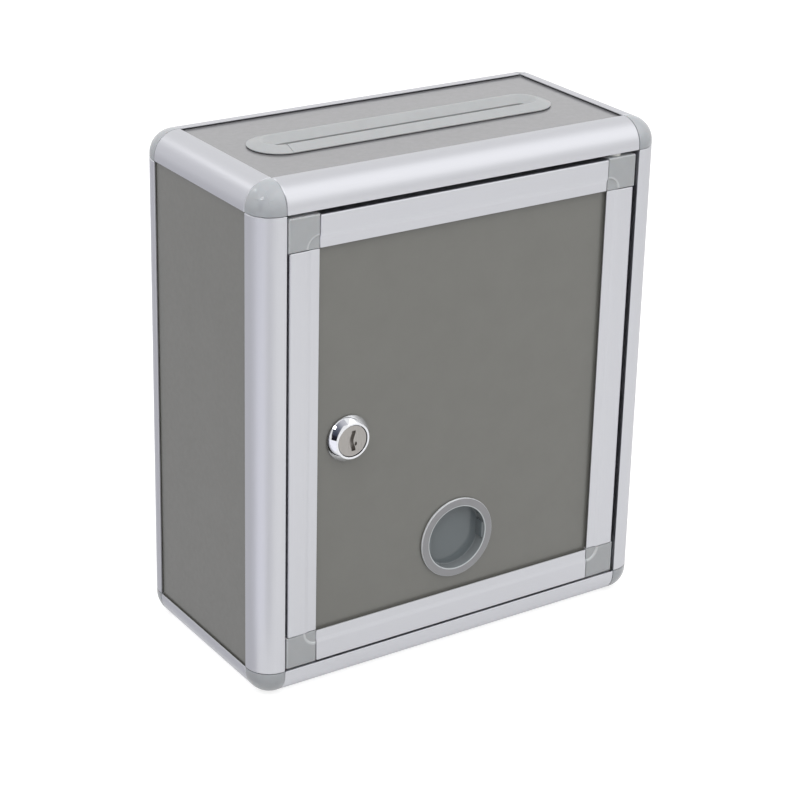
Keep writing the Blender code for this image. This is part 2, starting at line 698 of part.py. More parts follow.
def build_door_panel():
    reach = DOOR_CORNER - RAIL_SETBACK - RAIL_GROOVE_FLOOR - FIT_GAP
    half_x = DOOR_HALF_WIDTH - DOOR_CORNER + reach
    half_z = (DOOR_TOP - DOOR_BOTTOM) / 2 - DOOR_CORNER + reach
    notch_x = DOOR_HALF_WIDTH - DOOR_CORNER - SEAM
    notch_z = (DOOR_TOP - DOOR_BOTTOM) / 2 - DOOR_CORNER - SEAM
    outline = notched_rectangle(half_x, half_z, notch_x, notch_z)
    window = circle(WINDOW_X, WINDOW_Z - DOOR_MIDDLE, WINDOW_BARREL_RADIUS + FIT_GAP, WINDOW_STEPS)
    sheet = extrusion("door_panel", [outline, lock_hole_outline(), window], PANEL_THICKNESS, panel_grey)
    place(sheet, (0, DOOR_PANEL_Y + PANEL_THICKNESS / 2, DOOR_MIDDLE), X_AXIS, Z_AXIS)


def ring(name, inner, outer, low, high, steps, material):
    profile = [(inner, high), (outer, high), (outer, low), (inner, low)]
    return turned(name, profile, steps, material)


def build_hinges():
    """Two steel pins through the corner pieces into the case, each with a plastic washer."""
    for level, edge, case_edge, outward in (
        ("top", DOOR_TOP, BOX_HEIGHT - FACE_WIDTH, 1),
        ("bottom", DOOR_BOTTOM, FACE_WIDTH, -1),
    ):
        chamber_end = case_edge + outward * (FACE_WIDTH - GROOVE_FLOOR - PIN_END_GAP)
        inner_end = edge - outward * PIN_LENGTH_IN_DOOR
        pin = turned("hinge_pin_" + level, rod_profile(PIN_RADIUS, inner_end, chamber_end),
                     SMALL_STEPS, zinc, closed=False)
        pin.location = (PIVOT_X, PIVOT_Y, 0)
        faces = sorted((edge + outward * WASHER_GAP, case_edge - outward * WASHER_GAP))
        washer = ring("hinge_washer_" + level, PIN_HOLE_RADIUS, WASHER_RADIUS, faces[0], faces[1],
                      SMALL_STEPS, washer_plastic)
        washer.location = (PIVOT_X, PIVOT_Y, 0)
        for target, start, end in (
            ("door_corner_" + level + "_right", edge + outward * OVERRUN,
             inner_end - outward * PIN_END_GAP),
            ("rail_" + level + "_front", case_edge - outward * OVERRUN,
             case_edge + outward * (SKIN + OVERRUN)),
        ):
            hole = turned(target + "_hole", rod_profile(PIN_HOLE_RADIUS, start, end),
                          SMALL_STEPS, closed=False, collection=cutters)
            hole.location = (PIVOT_X, PIVOT_Y, 0)
            combine(parts.objects[target], hole)


def rod_profile(radius, first_end, second_end):
    top = max(first_end, second_end)
    bottom = min(first_end, second_end)
    return [(0, top), (radius, top), (radius, bottom), (0, bottom)]


# Cam lock: heights are measured forwards from the face of the door panel

def at_lock(thing):
    """Lay a piece's local Z along the lock's axis, towards the front."""
    return place(thing, (LOCK_X, DOOR_PANEL_Y, LOCK_Z), X_AXIS, Z_AXIS)


def build_lock():
    nose = LOCK_SEAT_GAP + LOCK_NOSE
    face_seat = nose - LOCK_FACE_SEAT
    rim_inner = LOCK_RIM_RADIUS - LOCK_RIM_WIDTH
    barrel_end = -LOCK_BARREL_LENGTH
    housing = turned("lock_housing", [
        (rim_inner, nose - LOCK_RIM_ROUNDING),
        (rim_inner + LOCK_RIM_ROUNDING, nose),
        (LOCK_RIM_RADIUS - LOCK_RIM_ROUNDING, nose),
        (LOCK_RIM_RADIUS, nose - LOCK_RIM_ROUNDING),
        (LOCK_BASE_RADIUS - LOCK_BASE_EDGE / 2, LOCK_SEAT_GAP + 2 * LOCK_BASE_EDGE),
        (LOCK_BASE_RADIUS, LOCK_SEAT_GAP + LOCK_BASE_EDGE),
        (LOCK_BASE_RADIUS, LOCK_SEAT_GAP),
        (LOCK_BARREL_RADIUS, LOCK_SEAT_GAP),
        (LOCK_BARREL_RADIUS, barrel_end),
        (LOCK_BORE_RADIUS, barrel_end),
        (LOCK_BORE_RADIUS, face_seat),
        (rim_inner, face_seat),
    ], LOCK_STEPS, chrome)
    at_lock(housing)
    for sign in (-1, 1):
        flat = sign * LOCK_BARREL_FLATS / 2
        beyond = sign * (LOCK_BARREL_RADIUS + OVERRUN)
        side = 2 * LOCK_BARREL_RADIUS
        low = (min(flat, beyond), -side, barrel_end - OVERRUN)
        high = (max(flat, beyond), side, LOCK_SEAT_GAP)
        combine(housing, at_lock(block("barrel_flat", low, high, collection=cutters)))

    plug_face = nose - PLUG_SINK
    face_radius = rim_inner - PLUG_RUNNING_GAP
    body_radius = LOCK_BORE_RADIUS - PLUG_RUNNING_GAP
    body_end = barrel_end - PLUG_RUNNING_GAP
    tenon_end = body_end - CAM_THICKNESS
    plug = turned("lock_plug", [
        (0, plug_face),
        (face_radius - PLUG_EDGE, plug_face),
        (face_radius, plug_face - PLUG_EDGE),
        (face_radius, plug_face - PLUG_FACE_THICKNESS),
        (body_radius, plug_face - PLUG_FACE_THICKNESS),
        (body_radius, body_end),
        (0, body_end),
    ], LOCK_STEPS, plug_metal, closed=False)
    at_lock(plug)
    half = PLUG_TENON_SIZE / 2
    square = block("plug_tenon", (-half, -half, tenon_end), (half, half, body_end + PLUG_FACE_THICKNESS),
                   collection=cutters)
    combine(plug, at_lock(square), "UNION")
    keyhole = extrusion("keyhole", [keyhole_outline()], 2 * KEYHOLE_DEPTH, collection=cutters)
    place(keyhole, (LOCK_X, DOOR_PANEL_Y - plug_face, LOCK_Z), X_AXIS, Z_AXIS)
    combine(plug, keyhole)
    head_seat = tenon_end - 2 * PLUG_RUNNING_GAP
    screw_end = head_seat + SCREW_LENGTH
    screw_hole = turned("screw_hole", rod_profile(SCREW_RADIUS + FIT_GAP, screw_end + FIT_GAP,
                                                  tenon_end - OVERRUN),
                        SMALL_STEPS, closed=False, collection=cutters)
    combine(plug, at_lock(screw_hole))

    panel_back = -PANEL_THICKNESS
    inner = LOCK_BARREL_RADIUS + FIT_GAP
    washer_front = panel_back - FIT_GAP
    washer_back = washer_front - LOCK_WASHER_THICKNESS
    at_lock(ring("lock_washer", inner, LOCK_WASHER_RADIUS, washer_back, washer_front, LOCK_STEPS, zinc))
    nut_front = washer_back - FIT_GAP
    hexagon = circle(0, 0, LOCK_NUT_FLATS / math.sqrt(3), 6)
    nut = extrusion("lock_nut", [hexagon, circle(0, 0, inner, LOCK_STEPS)], LOCK_NUT_THICKNESS, zinc)
    nut_middle = nut_front - LOCK_NUT_THICKNESS / 2
    place(nut, (LOCK_X, DOOR_PANEL_Y - nut_middle, LOCK_Z), X_AXIS, Z_AXIS)

    build_cam(body_end - PLUG_RUNNING_GAP)
    build_cam_screw(head_seat)


def keyhole_outline():
    """A narrow upright slot whose two sides wave in step, as a warded key's does."""
    side = []
    for step in range(KEYHOLE_STEPS + 1):
        share = step / KEYHOLE_STEPS
        height = KEYHOLE_HEIGHT * (share - 0.5)
        side.append((KEYHOLE_WAVE * math.cos(2 * math.pi * share), height))
    right = [(x + KEYHOLE_WIDTH / 2, y) for x, y in side]
    left = [(x - KEYHOLE_WIDTH / 2, y) for x, y in reversed(side)]
    return right + left


def build_cam(hub_front):
    """Cranked steel bar that hangs from the plug, and turns behind the case's left front post."""
    post_back = -(FRONT_Y + FACE_WIDTH - DOOR_PANEL_Y)
    tip_front = post_back - CAM_CATCH_GAP
    crank_end = CAM_CRANK_START + CAM_CRANK_RUN
    half = CAM_WIDTH / 2
    side = [
        (-half, hub_front),
        (CAM_CRANK_START, hub_front),
        (crank_end, tip_front),
        (CAM_REACH, tip_front),
        (CAM_REACH, tip_front - CAM_THICKNESS),
        (crank_end, tip_front - CAM_THICKNESS),
        (CAM_CRANK_START, hub_front - CAM_THICKNESS),
        (-half, hub_front - CAM_THICKNESS),
    ]
    cam = extrusion("lock_cam", [side], CAM_WIDTH, zinc)

    def across_an_end(first, second):
        at_end = abs(first.x - second.x) < WELD_DISTANCE and abs(first.z - second.z) < WELD_DISTANCE
        outermost = first.x > CAM_REACH - WELD_DISTANCE or first.x < WELD_DISTANCE - half
        return at_end and outermost

    round_edges(cam.data, across_an_end, CAM_END_ROUNDING, CAM_END_STEPS)
    place(cam, (LOCK_X, DOOR_PANEL_Y, LOCK_Z), -Z_AXIS, -Y_AXIS)
    hole = PLUG_TENON_SIZE / 2 + FIT_GAP
    low = (-hole, -hole, hub_front - CAM_THICKNESS - OVERRUN)
    combine(cam, at_lock(block("cam_hole", low, (hole, hole, hub_front + OVERRUN), collection=cutters)))


def build_cam_screw(head_seat):
    back = head_seat - SCREW_HEAD_THICKNESS
    screw = turned("lock_cam_screw", [
        (0, head_seat + SCREW_LENGTH),
        (SCREW_RADIUS, head_seat + SCREW_LENGTH),
        (SCREW_RADIUS, head_seat),
        (SCREW_HEAD_RADIUS, head_seat),
        (SCREW_HEAD_RADIUS, back + SCREW_HEAD_CROWN),
        (SCREW_HEAD_RADIUS - SCREW_HEAD_CROWN, back),
        (0, back),
    ], SMALL_STEPS, zinc, closed=False)
    at_lock(screw)
    half = SCREW_SLOT_WIDTH / 2
    length = SCREW_HEAD_RADIUS - SCREW_HEAD_CROWN
    for reach_x, reach_y in ((length, half), (half, length)):
        low = (-reach_x, -reach_y, back - OVERRUN)
        high = (reach_x, reach_y, back + SCREW_SLOT_DEPTH)
        combine(screw, at_lock(block("screw_slot", low, high, collection=cutters)))


# Viewing window: a clear cup with a flange, snapped through the door panel

def at_window(thing):
    """Lay a piece's local Z along the window's axis, towards the front."""
    return place(thing, (WINDOW_X, DOOR_PANEL_Y, WINDOW_Z), X_AXIS, Z_AXIS)


def build_window():
    flange_front = PANEL_CLEARANCE + WINDOW_FLANGE_THICKNESS
    bead_top = -PANEL_THICKNESS - FIT_GAP
    bead = WINDOW_BARREL_RADIUS + WINDOW_BEAD
    window = turned("viewing_window", [
        (0, WINDOW_PANE - WINDOW_DEPTH),
        (WINDOW_BORE_RADIUS, WINDOW_PANE - WINDOW_DEPTH),
        (WINDOW_BORE_RADIUS, flange_front - WINDOW_FLANGE_EDGE),
        (WINDOW_BORE_RADIUS + WINDOW_FLANGE_EDGE, flange_front),
        (WINDOW_FLANGE_RADIUS - WINDOW_FLANGE_EDGE, flange_front),
        (WINDOW_FLANGE_RADIUS, flange_front - WINDOW_FLANGE_EDGE),
        (WINDOW_FLANGE_RADIUS, PANEL_CLEARANCE),
        (WINDOW_BARREL_RADIUS, PANEL_CLEARANCE),
        (WINDOW_BARREL_RADIUS, bead_top),
        (bead, bead_top),
        (bead, bead_top - WINDOW_BEAD),
        (WINDOW_BARREL_RADIUS, bead_top - 2 * WINDOW_BEAD),
        (WINDOW_BARREL_RADIUS, -WINDOW_DEPTH),
        (0, -WINDOW_DEPTH),
    ], WINDOW_STEPS, clear_plastic, closed=False)
    at_window(window)
    half = WINDOW_TAB_HEIGHT / 2
    pane_middle = WINDOW_PANE / 2 - WINDOW_DEPTH
    inner = WINDOW_BORE_RADIUS - WINDOW_TAB_REACH
    outer = WINDOW_BORE_RADIUS + WINDOW_WALL / 2
    for start, end in ((-outer, -inner), (inner, outer)):
        tab = block("window_tab", (start, -half, pane_middle), (end, half, flange_front - WINDOW_TAB_SINK),
                    collection=cutters)
        combine(window, at_window(tab), "UNION")


# What moves hangs from an empty on its own axis

def hang(names, pivot_name, location, parent=None):
    """Parent pieces to an empty on their axis, and leave them where they are."""
    pivot = bpy.data.objects.new(pivot_name, None)
    pivot.location = location
    parts.objects.link(pivot)
    bpy.context.view_layer.update()
    if parent:
        pivot.parent = parent
        pivot.matrix_parent_inverse = parent.matrix_world.inverted()
        bpy.context.view_layer.update()
    for name in names:
        piece = parts.objects[name]
        piece.parent = pivot
        piece.matrix_parent_inverse = pivot.matrix_world.inverted()
    return pivot


def build_pivots():
    door_names = ["door_panel", "viewing_window", "hinge_pin_top", "hinge_pin_bottom"]
    door_names += ["lock_housing", "lock_washer", "lock_nut"]
    for side in ("left", "right"):
        door_names += ["door_stile_" + side, "door_corner_top_" + side, "door_corner_bottom_" + side]
    door_names += ["door_rail_top", "door_rail_bottom"]
    hinge = hang(door_names, "door_hinge_axis", (PIVOT_X, PIVOT_Y, DOOR_MIDDLE))
    turning = ["lock_plug", "lock_cam", "lock_cam_screw"]
    hang(turning, "lock_axis", (LOCK_X, DOOR_PANEL_Y, LOCK_Z), hinge)


build_edge_profiles()
build_ball_corners()
build_case_panels()
build_slot_trim()
build_door_rails()
build_door_corners()
build_door_panel()
build_hinges()
build_lock()
build_window()
build_pivots()
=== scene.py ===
# %% [markdown]
# # Dressing a suggestion box
# The box is a small locked cabinet. Silver aluminium extrusions hold grey sheets, plastic balls
# join them at the corners, and a framed door closes the front. The measured solids come in first
# as a fixed frame. Where their curves are coarse, a finer piece takes the solid's place, and where
# they are flat sheets, they stay and get a better finish. Starting from the frame keeps every
# piece in its true place, so nothing here has to be fitted by eye.

import json
import math

import bmesh
import bpy
from mathutils import Matrix, Vector

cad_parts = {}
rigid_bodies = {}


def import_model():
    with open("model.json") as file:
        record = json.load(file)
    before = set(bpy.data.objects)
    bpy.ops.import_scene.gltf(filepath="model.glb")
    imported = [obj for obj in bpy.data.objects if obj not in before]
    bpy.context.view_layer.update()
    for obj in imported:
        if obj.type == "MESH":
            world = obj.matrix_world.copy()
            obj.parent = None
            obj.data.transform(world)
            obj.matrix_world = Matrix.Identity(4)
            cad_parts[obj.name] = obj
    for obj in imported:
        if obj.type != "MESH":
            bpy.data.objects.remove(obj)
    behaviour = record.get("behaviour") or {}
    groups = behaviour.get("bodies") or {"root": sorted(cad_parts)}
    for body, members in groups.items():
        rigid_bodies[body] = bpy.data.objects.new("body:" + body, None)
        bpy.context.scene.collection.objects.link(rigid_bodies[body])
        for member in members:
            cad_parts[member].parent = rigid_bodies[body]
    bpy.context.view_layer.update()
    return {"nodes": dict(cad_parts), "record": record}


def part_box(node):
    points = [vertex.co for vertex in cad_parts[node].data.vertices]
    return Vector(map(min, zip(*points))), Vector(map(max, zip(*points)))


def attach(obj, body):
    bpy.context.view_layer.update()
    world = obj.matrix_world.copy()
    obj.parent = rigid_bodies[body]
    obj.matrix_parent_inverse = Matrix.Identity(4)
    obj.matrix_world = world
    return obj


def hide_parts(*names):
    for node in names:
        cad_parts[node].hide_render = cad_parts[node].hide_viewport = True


for leftover in list(bpy.data.objects):
    bpy.data.objects.remove(leftover, do_unlink=True)

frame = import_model()

# %% [markdown]
# ## Who carries what
# Each finer piece moves with the same body as the solid that it stands for. Two small look-up
# tables give each solid's body and its finish slot in the record, so that no piece can be hung on
# the wrong body by a typing slip. The slots pick out the sheets; each finer piece is given its
# finish where it is made.

# %% Bodies and finishes of the solids
body_of = {}
for body, members in frame["record"]["behaviour"]["bodies"].items():
    for member in members:
        body_of[member] = body
slot_of = {entry["node"]: entry["material_slot"] for entry in frame["record"]["subparts"]}

# %% [markdown]
# ## Mixing a finish
# Every finish is mixed from nodes on Blender's Principled shader. What is the same all over the
# surface is set on the shader itself. What varies, such as the drawn streaks of an extrusion or
# the pebbled skin of a moulding, comes from noise in the piece's own coordinates, so that it
# stays with the piece when the door swings.

# %% Helpers for finishes
NOISE_LOW = 0.3
NOISE_HIGH = 0.7


def wired(tree, kind, inputs, **settings):
    """The outputs of a new node, with a value or another node's output on each given input."""
    node = tree.nodes.new("ShaderNode" + kind)
    for setting, value in settings.items():
        setattr(node, setting, value)
    for key, value in inputs.items():
        if isinstance(value, bpy.types.NodeSocket):
            tree.links.new(value, node.inputs[key])
        else:
            node.inputs[key].default_value = value
    return node.outputs


def new_finish(name, **settings):
    """A material, its shader and its nodes, with plain settings put straight on the shader."""
    finish = bpy.data.materials.new(name)
    finish.use_nodes = True
    shader = finish.node_tree.nodes["Principled BSDF"]
    for socket, value in settings.items():
        shader.inputs[socket.replace("_", " ").title().replace("Ior", "IOR")].default_value = value
    return finish, shader, finish.node_tree


def grain(tree, scale, stretch=(1, 1, 1), detail=2.0):
    """Noise between 0 and 1 in the piece's own coordinates, stretched along an axis if asked."""
    place = wired(tree, "TexCoord", {})["Object"]
    stretched = wired(tree, "Mapping", {"Vector": place, "Scale": stretch})["Vector"]
    return wired(tree, "TexNoise", {"Vector": stretched, "Scale": scale, "Detail": detail})["Fac"]


def colour_by(tree, value, stops, socket):
    """Turn a number into a colour through stops of (number, colour), and plug it into a socket."""
    ramp = tree.nodes.new("ShaderNodeValToRGB")
    while len(ramp.color_ramp.elements) < len(stops):
        ramp.color_ramp.elements.new(1.0)
    for stop, (position, colour) in zip(ramp.color_ramp.elements, stops):
        stop.position = position
        stop.color = (*colour, 1)
    tree.links.new(value, ramp.inputs["Fac"])
    tree.links.new(ramp.outputs["Color"], socket)


def spread(tree, value, low, high, socket):
    """Spread a noise between two numbers, or two colours, and plug it into a socket."""
    if isinstance(low, tuple):
        colour_by(tree, value, ((NOISE_LOW, low), (NOISE_HIGH, high)), socket)
        return
    remapped = wired(tree, "MapRange", {"Value": value, "From Min": NOISE_LOW, "From Max": NOISE_HIGH,
                                        "To Min": low, "To Max": high})
    tree.links.new(remapped["Result"], socket)


def relief(tree, shader, value, depth, strength):
    """Turn a noise into fine relief of a given depth in metres."""
    bump = wired(tree, "Bump", {"Height": value, "Distance": depth, "Strength": strength})
    tree.links.new(bump["Normal"], shader.inputs["Normal"])


def reach_from(tree, middle):
    """How far a point lies from a middle, measured along the piece's local X and Y."""
    apart = wired(tree, "SeparateXYZ", {"Vector": wired(tree, "TexCoord", {})["Object"]})
    flat = wired(tree, "CombineXYZ", {"X": apart["X"], "Y": apart["Y"]})["Vector"]
    return wired(tree, "VectorMath", {0: flat, 1: middle}, operation="DISTANCE")["Value"]


print("Ready to mix finishes")

# %% [markdown]
# ## Satin anodised aluminium
# The extrusions are etched, then anodised: a soft silver sheen, with very fine streaks along the
# length from the die. It could be made with an anisotropic shader, but that needs tangents on
# every piece. Streaks of noise stretched along local Z give the same look, because each length is
# drawn out along its own Z.

# %% Mix the aluminium
aluminium, shader, tree = new_finish("satin_aluminium", metallic=1.0)
streaks = grain(tree, scale=5200, stretch=(1, 1, 0.006), detail=3)
etched = grain(tree, scale=9000)
spread(tree, streaks, (0.63, 0.635, 0.668), (0.65, 0.655, 0.69), shader.inputs["Base Color"])
spread(tree, streaks, 0.36, 0.40, shader.inputs["Roughness"])
relief(tree, shader, etched, depth=0.000012, strength=0.25)
print("Mixed", aluminium.name)

# %% [markdown]
# ## Coated grey sheet
# The sheets carry a warm grey, satin coating. It isn't quite flat: it has a very faint orange
# peel, and a thin clear layer that mirrors the bright lips of the frame at a low angle. The clear
# layer is the shader's coat, and the orange peel is a wide, shallow relief. The top sheet has the
# same coating, but its own lighter and cooler mix, which is painted light: the brighter light from
# above and the pale sky that it mirrors.

# %% Mix the sheet's coating
def mix_coated_sheet(name, dark, light):
    finish, shader, tree = new_finish(name, coat_weight=0.9, coat_roughness=0.12)
    clouds = grain(tree, scale=60, detail=4)
    orange_peel = grain(tree, scale=1100, detail=3)
    spread(tree, clouds, dark, light, shader.inputs["Base Color"])
    spread(tree, grain(tree, scale=400), 0.42, 0.50, shader.inputs["Roughness"])
    relief(tree, shader, orange_peel, depth=0.00002, strength=0.35)
    return finish


coated_sheet = mix_coated_sheet("warm_grey_coating", (0.134, 0.133, 0.119), (0.142, 0.141, 0.127))
# The top sheet's lighter, cooler colour is painted light from above, not a different coating.
top_sheet_painted_light = mix_coated_sheet("top_sheet_coating", (0.161, 0.160, 0.167), (0.169, 0.168, 0.175))
print("Mixed", coated_sheet.name, top_sheet_painted_light.name)

# %% [markdown]
# ## Moulded plastics
# The corners, the slot's trim and the washers are injection mouldings. A mould leaves a smooth
# but never perfect skin, so each has a fine pebble, slight clouds in its colour, and a gloss that
# wanders a little. One function mixes them all, because they differ only in colour and gloss. The
# door's corner pieces also get a painted highlight where their skin turns over a rim: a lighter
# colour that the distance from the rim blends into their colour.

# %% Mix the plastics
def mix_moulding(name, dark, light, rough_low, rough_high, pebble=0.00002, coat=(0.3, 0.08)):
    """A moulded skin between two colours, with a pebble's depth and a coat's weight and roughness."""
    finish, shader, tree = new_finish(name, subsurface_weight=0.04, subsurface_scale=0.002,
                                      coat_weight=coat[0], coat_roughness=coat[1])
    clouds = grain(tree, scale=140, detail=3)
    spread(tree, clouds, dark, light, shader.inputs["Base Color"])
    spread(tree, grain(tree, scale=700), rough_low, rough_high, shader.inputs["Roughness"])
    relief(tree, shader, grain(tree, scale=2600), pebble, strength=0.3)
    return finish


def paint_rim_highlights(finish, disc_middle, disc_radius, rim, colour):
    """Paint a highlight, a lighter colour, along a corner piece's two outer sides and round its disc."""
    tree = finish.node_tree
    socket = tree.nodes["Principled BSDF"].inputs["Base Color"]
    apart = wired(tree, "SeparateXYZ", {"Vector": wired(tree, "TexCoord", {})["Object"]})
    from_side = wired(tree, "Math", {0: apart["X"], 1: apart["Y"]}, operation="MINIMUM")["Value"]
    reach = reach_from(tree, (disc_middle, disc_middle, 0))
    past_ring = wired(tree, "Math", {0: reach, 1: disc_radius + 0.75 * rim}, operation="SUBTRACT")["Value"]
    from_ring = wired(tree, "Math", {0: past_ring}, operation="ABSOLUTE")["Value"]
    from_rim = wired(tree, "Math", {0: from_side, 1: from_ring}, operation="MINIMUM")["Value"]
    share = wired(tree, "MapRange", {"Value": from_rim, "From Min": 1.1 * rim, "From Max": 0.5 * rim})
    # The lighter colour blended in near the rims is a painted highlight.
    rim_highlighted = wired(tree, "Mix", {"Factor": share["Result"], "A": socket.links[0].from_socket,
                                "B": (*colour, 1)}, data_type="RGBA")
    tree.links.new(rim_highlighted["Result"], socket)


ball_grey = mix_moulding("ball_moulding", (0.310, 0.325, 0.345), (0.330, 0.345, 0.366),
                         0.28, 0.33, coat=(1.0, 0.22))
corner_grey = mix_moulding("door_corner_moulding", (0.355, 0.366, 0.378), (0.372, 0.384, 0.396), 0.33, 0.40)
trim_grey = mix_moulding("slot_trim_moulding", (0.310, 0.318, 0.325), (0.328, 0.336, 0.343),
                         0.40, 0.48, pebble=0.00003)
nylon = mix_moulding("natural_nylon", (0.70, 0.70, 0.67), (0.75, 0.75, 0.72), 0.42, 0.50)
print("Mixed", ball_grey.name, corner_grey.name, trim_grey.name, nylon.name)

# %% [markdown]
# ## Lock metals
# The lock's rose is chrome plate, which is almost a mirror with a few hairline wipes. Its plug is
# satin nickel, brushed in one direction. The nut, the cam, the screw and the pins are zinc plated,
# which is duller and slightly cloudy.

# %% Mix the lock's metals
def mix_plate(name, dark, light, rough_low, rough_high, scale, stretch=(1, 1, 1)):
    finish, shader, tree = new_finish(name, metallic=1.0)
    cloud = grain(tree, scale, stretch, 3)
    spread(tree, cloud, dark, light, shader.inputs["Base Color"])
    spread(tree, cloud, rough_low, rough_high, shader.inputs["Roughness"])
    relief(tree, shader, cloud, depth=0.00001, strength=0.15)
    return finish


chrome = mix_plate("chrome_plate", (0.80, 0.81, 0.84), (0.86, 0.87, 0.90), 0.04, 0.08, 900)
satin_nickel = mix_plate("satin_nickel", (0.37, 0.355, 0.34), (0.44, 0.42, 0.40), 0.26, 0.38,
                         6000, (1, 0.03, 1))
zinc = mix_plate("bright_zinc", (0.52, 0.54, 0.57), (0.62, 0.64, 0.67), 0.22, 0.34, 500)
print("Mixed", chrome.name, satin_nickel.name, zinc.name)

# %% [markdown]
# ## Clear window plastic
# The window is a clear cup pressed through the door. Its flange is lightly frosted and picks up
# the light, and the pane at its bottom shows the dark inside of the box. The thin bright rings at
# its bore and its outer edge are painted highlights in the plastic's colour. Full glass would turn
# black here, so the plastic is partly see-through and partly a thin haze, whose shade, and the
# painted highlights, depend on how far the point lies from the cup's axis.

# %% Mix the window's plastic
PANE_HAZE = (0.195, 0.222, 0.235)
WALL_HAZE = (0.26, 0.28, 0.29)
# The ring and the edge colours are painted highlights, not haze.
RING_HIGHLIGHT = (0.70, 0.74, 0.76)
FLANGE_HAZE = (0.37, 0.37, 0.385)
EDGE_HIGHLIGHT = (0.85, 0.87, 0.90)


def mix_window_plastic(bore, edge):
    """Haze, and painted highlight rings at the bore and the edge, by the share of the way from the axis to
    the flange's edge.
    """
    finish, shader, tree = new_finish("clear_window_plastic", IOR=1.49, roughness=0.10,
                                      transmission_weight=0.30)
    way_out = wired(tree, "MapRange", {"Value": reach_from(tree, (0, 0, 0)), "From Max": edge})["Result"]
    rim = bore / edge
    zones = ((0.0, PANE_HAZE), (rim - 0.015, PANE_HAZE), (rim + 0.001, WALL_HAZE),
             (rim + 0.008, RING_HIGHLIGHT), (rim + 0.022, RING_HIGHLIGHT), (rim + 0.034, FLANGE_HAZE),
             (0.985, FLANGE_HAZE), (0.997, EDGE_HIGHLIGHT))
    colour_by(tree, way_out, zones, shader.inputs["Base Color"])
    relief(tree, shader, grain(tree, scale=500, detail=3), depth=0.00002, strength=0.2)
    return finish


print("The window has", len({PANE_HAZE, WALL_HAZE, RING_HIGHLIGHT, FLANGE_HAZE, EDGE_HIGHLIGHT}), "shades of haze")

# %% [markdown]
# ## Small tools for making pieces
# Most pieces of this box are either drawn out, like an extrusion, or turned, like a lock. Both
# tools take an outline, so the shape of a piece is a short list of points. A third tool eases the
# outline's corners first: real edges are never perfectly sharp, and the thin bright line on an
# eased edge is what makes metal look like metal.

# %% Tools for outlines
EASE = 0.00015
CLEAR_CORNER = math.radians(25)
X_AXIS = Vector((1, 0, 0))
Y_AXIS = Vector((0, 1, 0))
Z_AXIS = Vector((0, 0, 1))


def arc(centre_x, centre_y, radius, start, end, steps):
    """Points along an arc, both ends included, angles in degrees."""
    points = []
    for step in range(steps + 1):
        angle = math.radians(start + (end - start) * step / steps)
        points.append((centre_x + radius * math.cos(angle), centre_y + radius * math.sin(angle)))
    return points


def shares(steps):
    """Even shares from zero to one, both included."""
    return [step / steps for step in range(steps + 1)]


def bend(start, corner, end, steps):
    """Points of a smooth bend from start to end that leans towards a corner."""
    return [tuple(start * (1 - share) ** 2 + corner * 2 * share * (1 - share) + end * share ** 2)
            for share in shares(steps)]


def eased(outline, radius=EASE, steps=3, closed=True):
    """The same outline, with a small round on each clear corner."""
    softened = []
    for index, point in enumerate(outline):
        corner = Vector(point)
        back = Vector(outline[index - 1]) - corner
        ahead = Vector(outline[(index + 1) % len(outline)]) - corner
        turn = 0 if not closed and index in (0, len(outline) - 1) else math.pi - back.angle(ahead)
        if turn < CLEAR_CORNER:
            softened.append(point)
            continue
        cut = min(radius * math.tan(turn / 2), 0.45 * back.length, 0.45 * ahead.length)
        softened += bend(corner + back.normalized() * cut, corner, corner + ahead.normalized() * cut, steps)
    return softened


def rectangle(low_x, low_y, high_x, high_y):
    return [(low_x, low_y), (high_x, low_y), (high_x, high_y), (low_x, high_y)]


def tube(inner, outer, low, high):
    """Profile of a turned tube, or of a rod if the inner radius is zero."""
    return [(inner, high), (outer, high), (outer, low), (inner, low)]


def mirrored(outline):
    """The same points with their two coordinates swapped, in the order that keeps the outline going."""
    return [(v, u) for u, v in reversed(outline)]


print("A right angle is eased into", len(bend(X_AXIS, Vector(), Y_AXIS, 3)), "points")

# %% Tools for solid pieces
SHARP_ANGLE = math.radians(35)
WELD = 0.000001
HAIR = 0.00001


def linked(name, data):
    piece = bpy.data.objects.new(name, data)
    bpy.context.scene.collection.objects.link(piece)
    return piece


def settle(piece):
    """Apply a piece's modifiers, weld it, and shade it smooth up to its sharp edges."""
    bpy.context.view_layer.update()
    mesh = bpy.data.meshes.new_from_object(piece.evaluated_get(bpy.context.evaluated_depsgraph_get()))
    name = piece.name
    bpy.data.objects.remove(piece)
    work = bmesh.new()
    work.from_mesh(mesh)
    bmesh.ops.remove_doubles(work, verts=work.verts, dist=WELD)
    bmesh.ops.dissolve_degenerate(work, edges=work.edges, dist=WELD)
    bmesh.ops.recalc_face_normals(work, faces=work.faces)
    work.to_mesh(mesh)
    work.free()
    mesh.shade_smooth()
    mesh.set_sharp_from_angle(angle=SHARP_ANGLE)
    return linked(name, mesh)


def drawn_out(name, outlines, length, chamfer=EASE, chamfer_steps=0, start=None):
    """Flat outlines, the first the outside and the others holes, drawn out along local Z.

    The piece is centred on its outlines' plane, or rises from the start height if one is given.
    """
    curve = bpy.data.curves.new(name, "CURVE")
    curve.dimensions = "2D"
    curve.fill_mode = "BOTH"
    curve.extrude = length / 2 - chamfer
    curve.bevel_depth = chamfer
    curve.bevel_resolution = chamfer_steps
    curve.offset = -chamfer
    for outline in outlines:
        spline = curve.splines.new("POLY")
        spline.points.add(len(outline) - 1)
        for point, (x, y) in zip(spline.points, outline):
            point.co = (x, y, 0, 1)
        spline.use_cyclic_u = True
    piece = settle(linked(name, curve))
    if start is not None:
        piece.data.transform(Matrix.Translation((0, 0, start + length / 2)))
    return piece


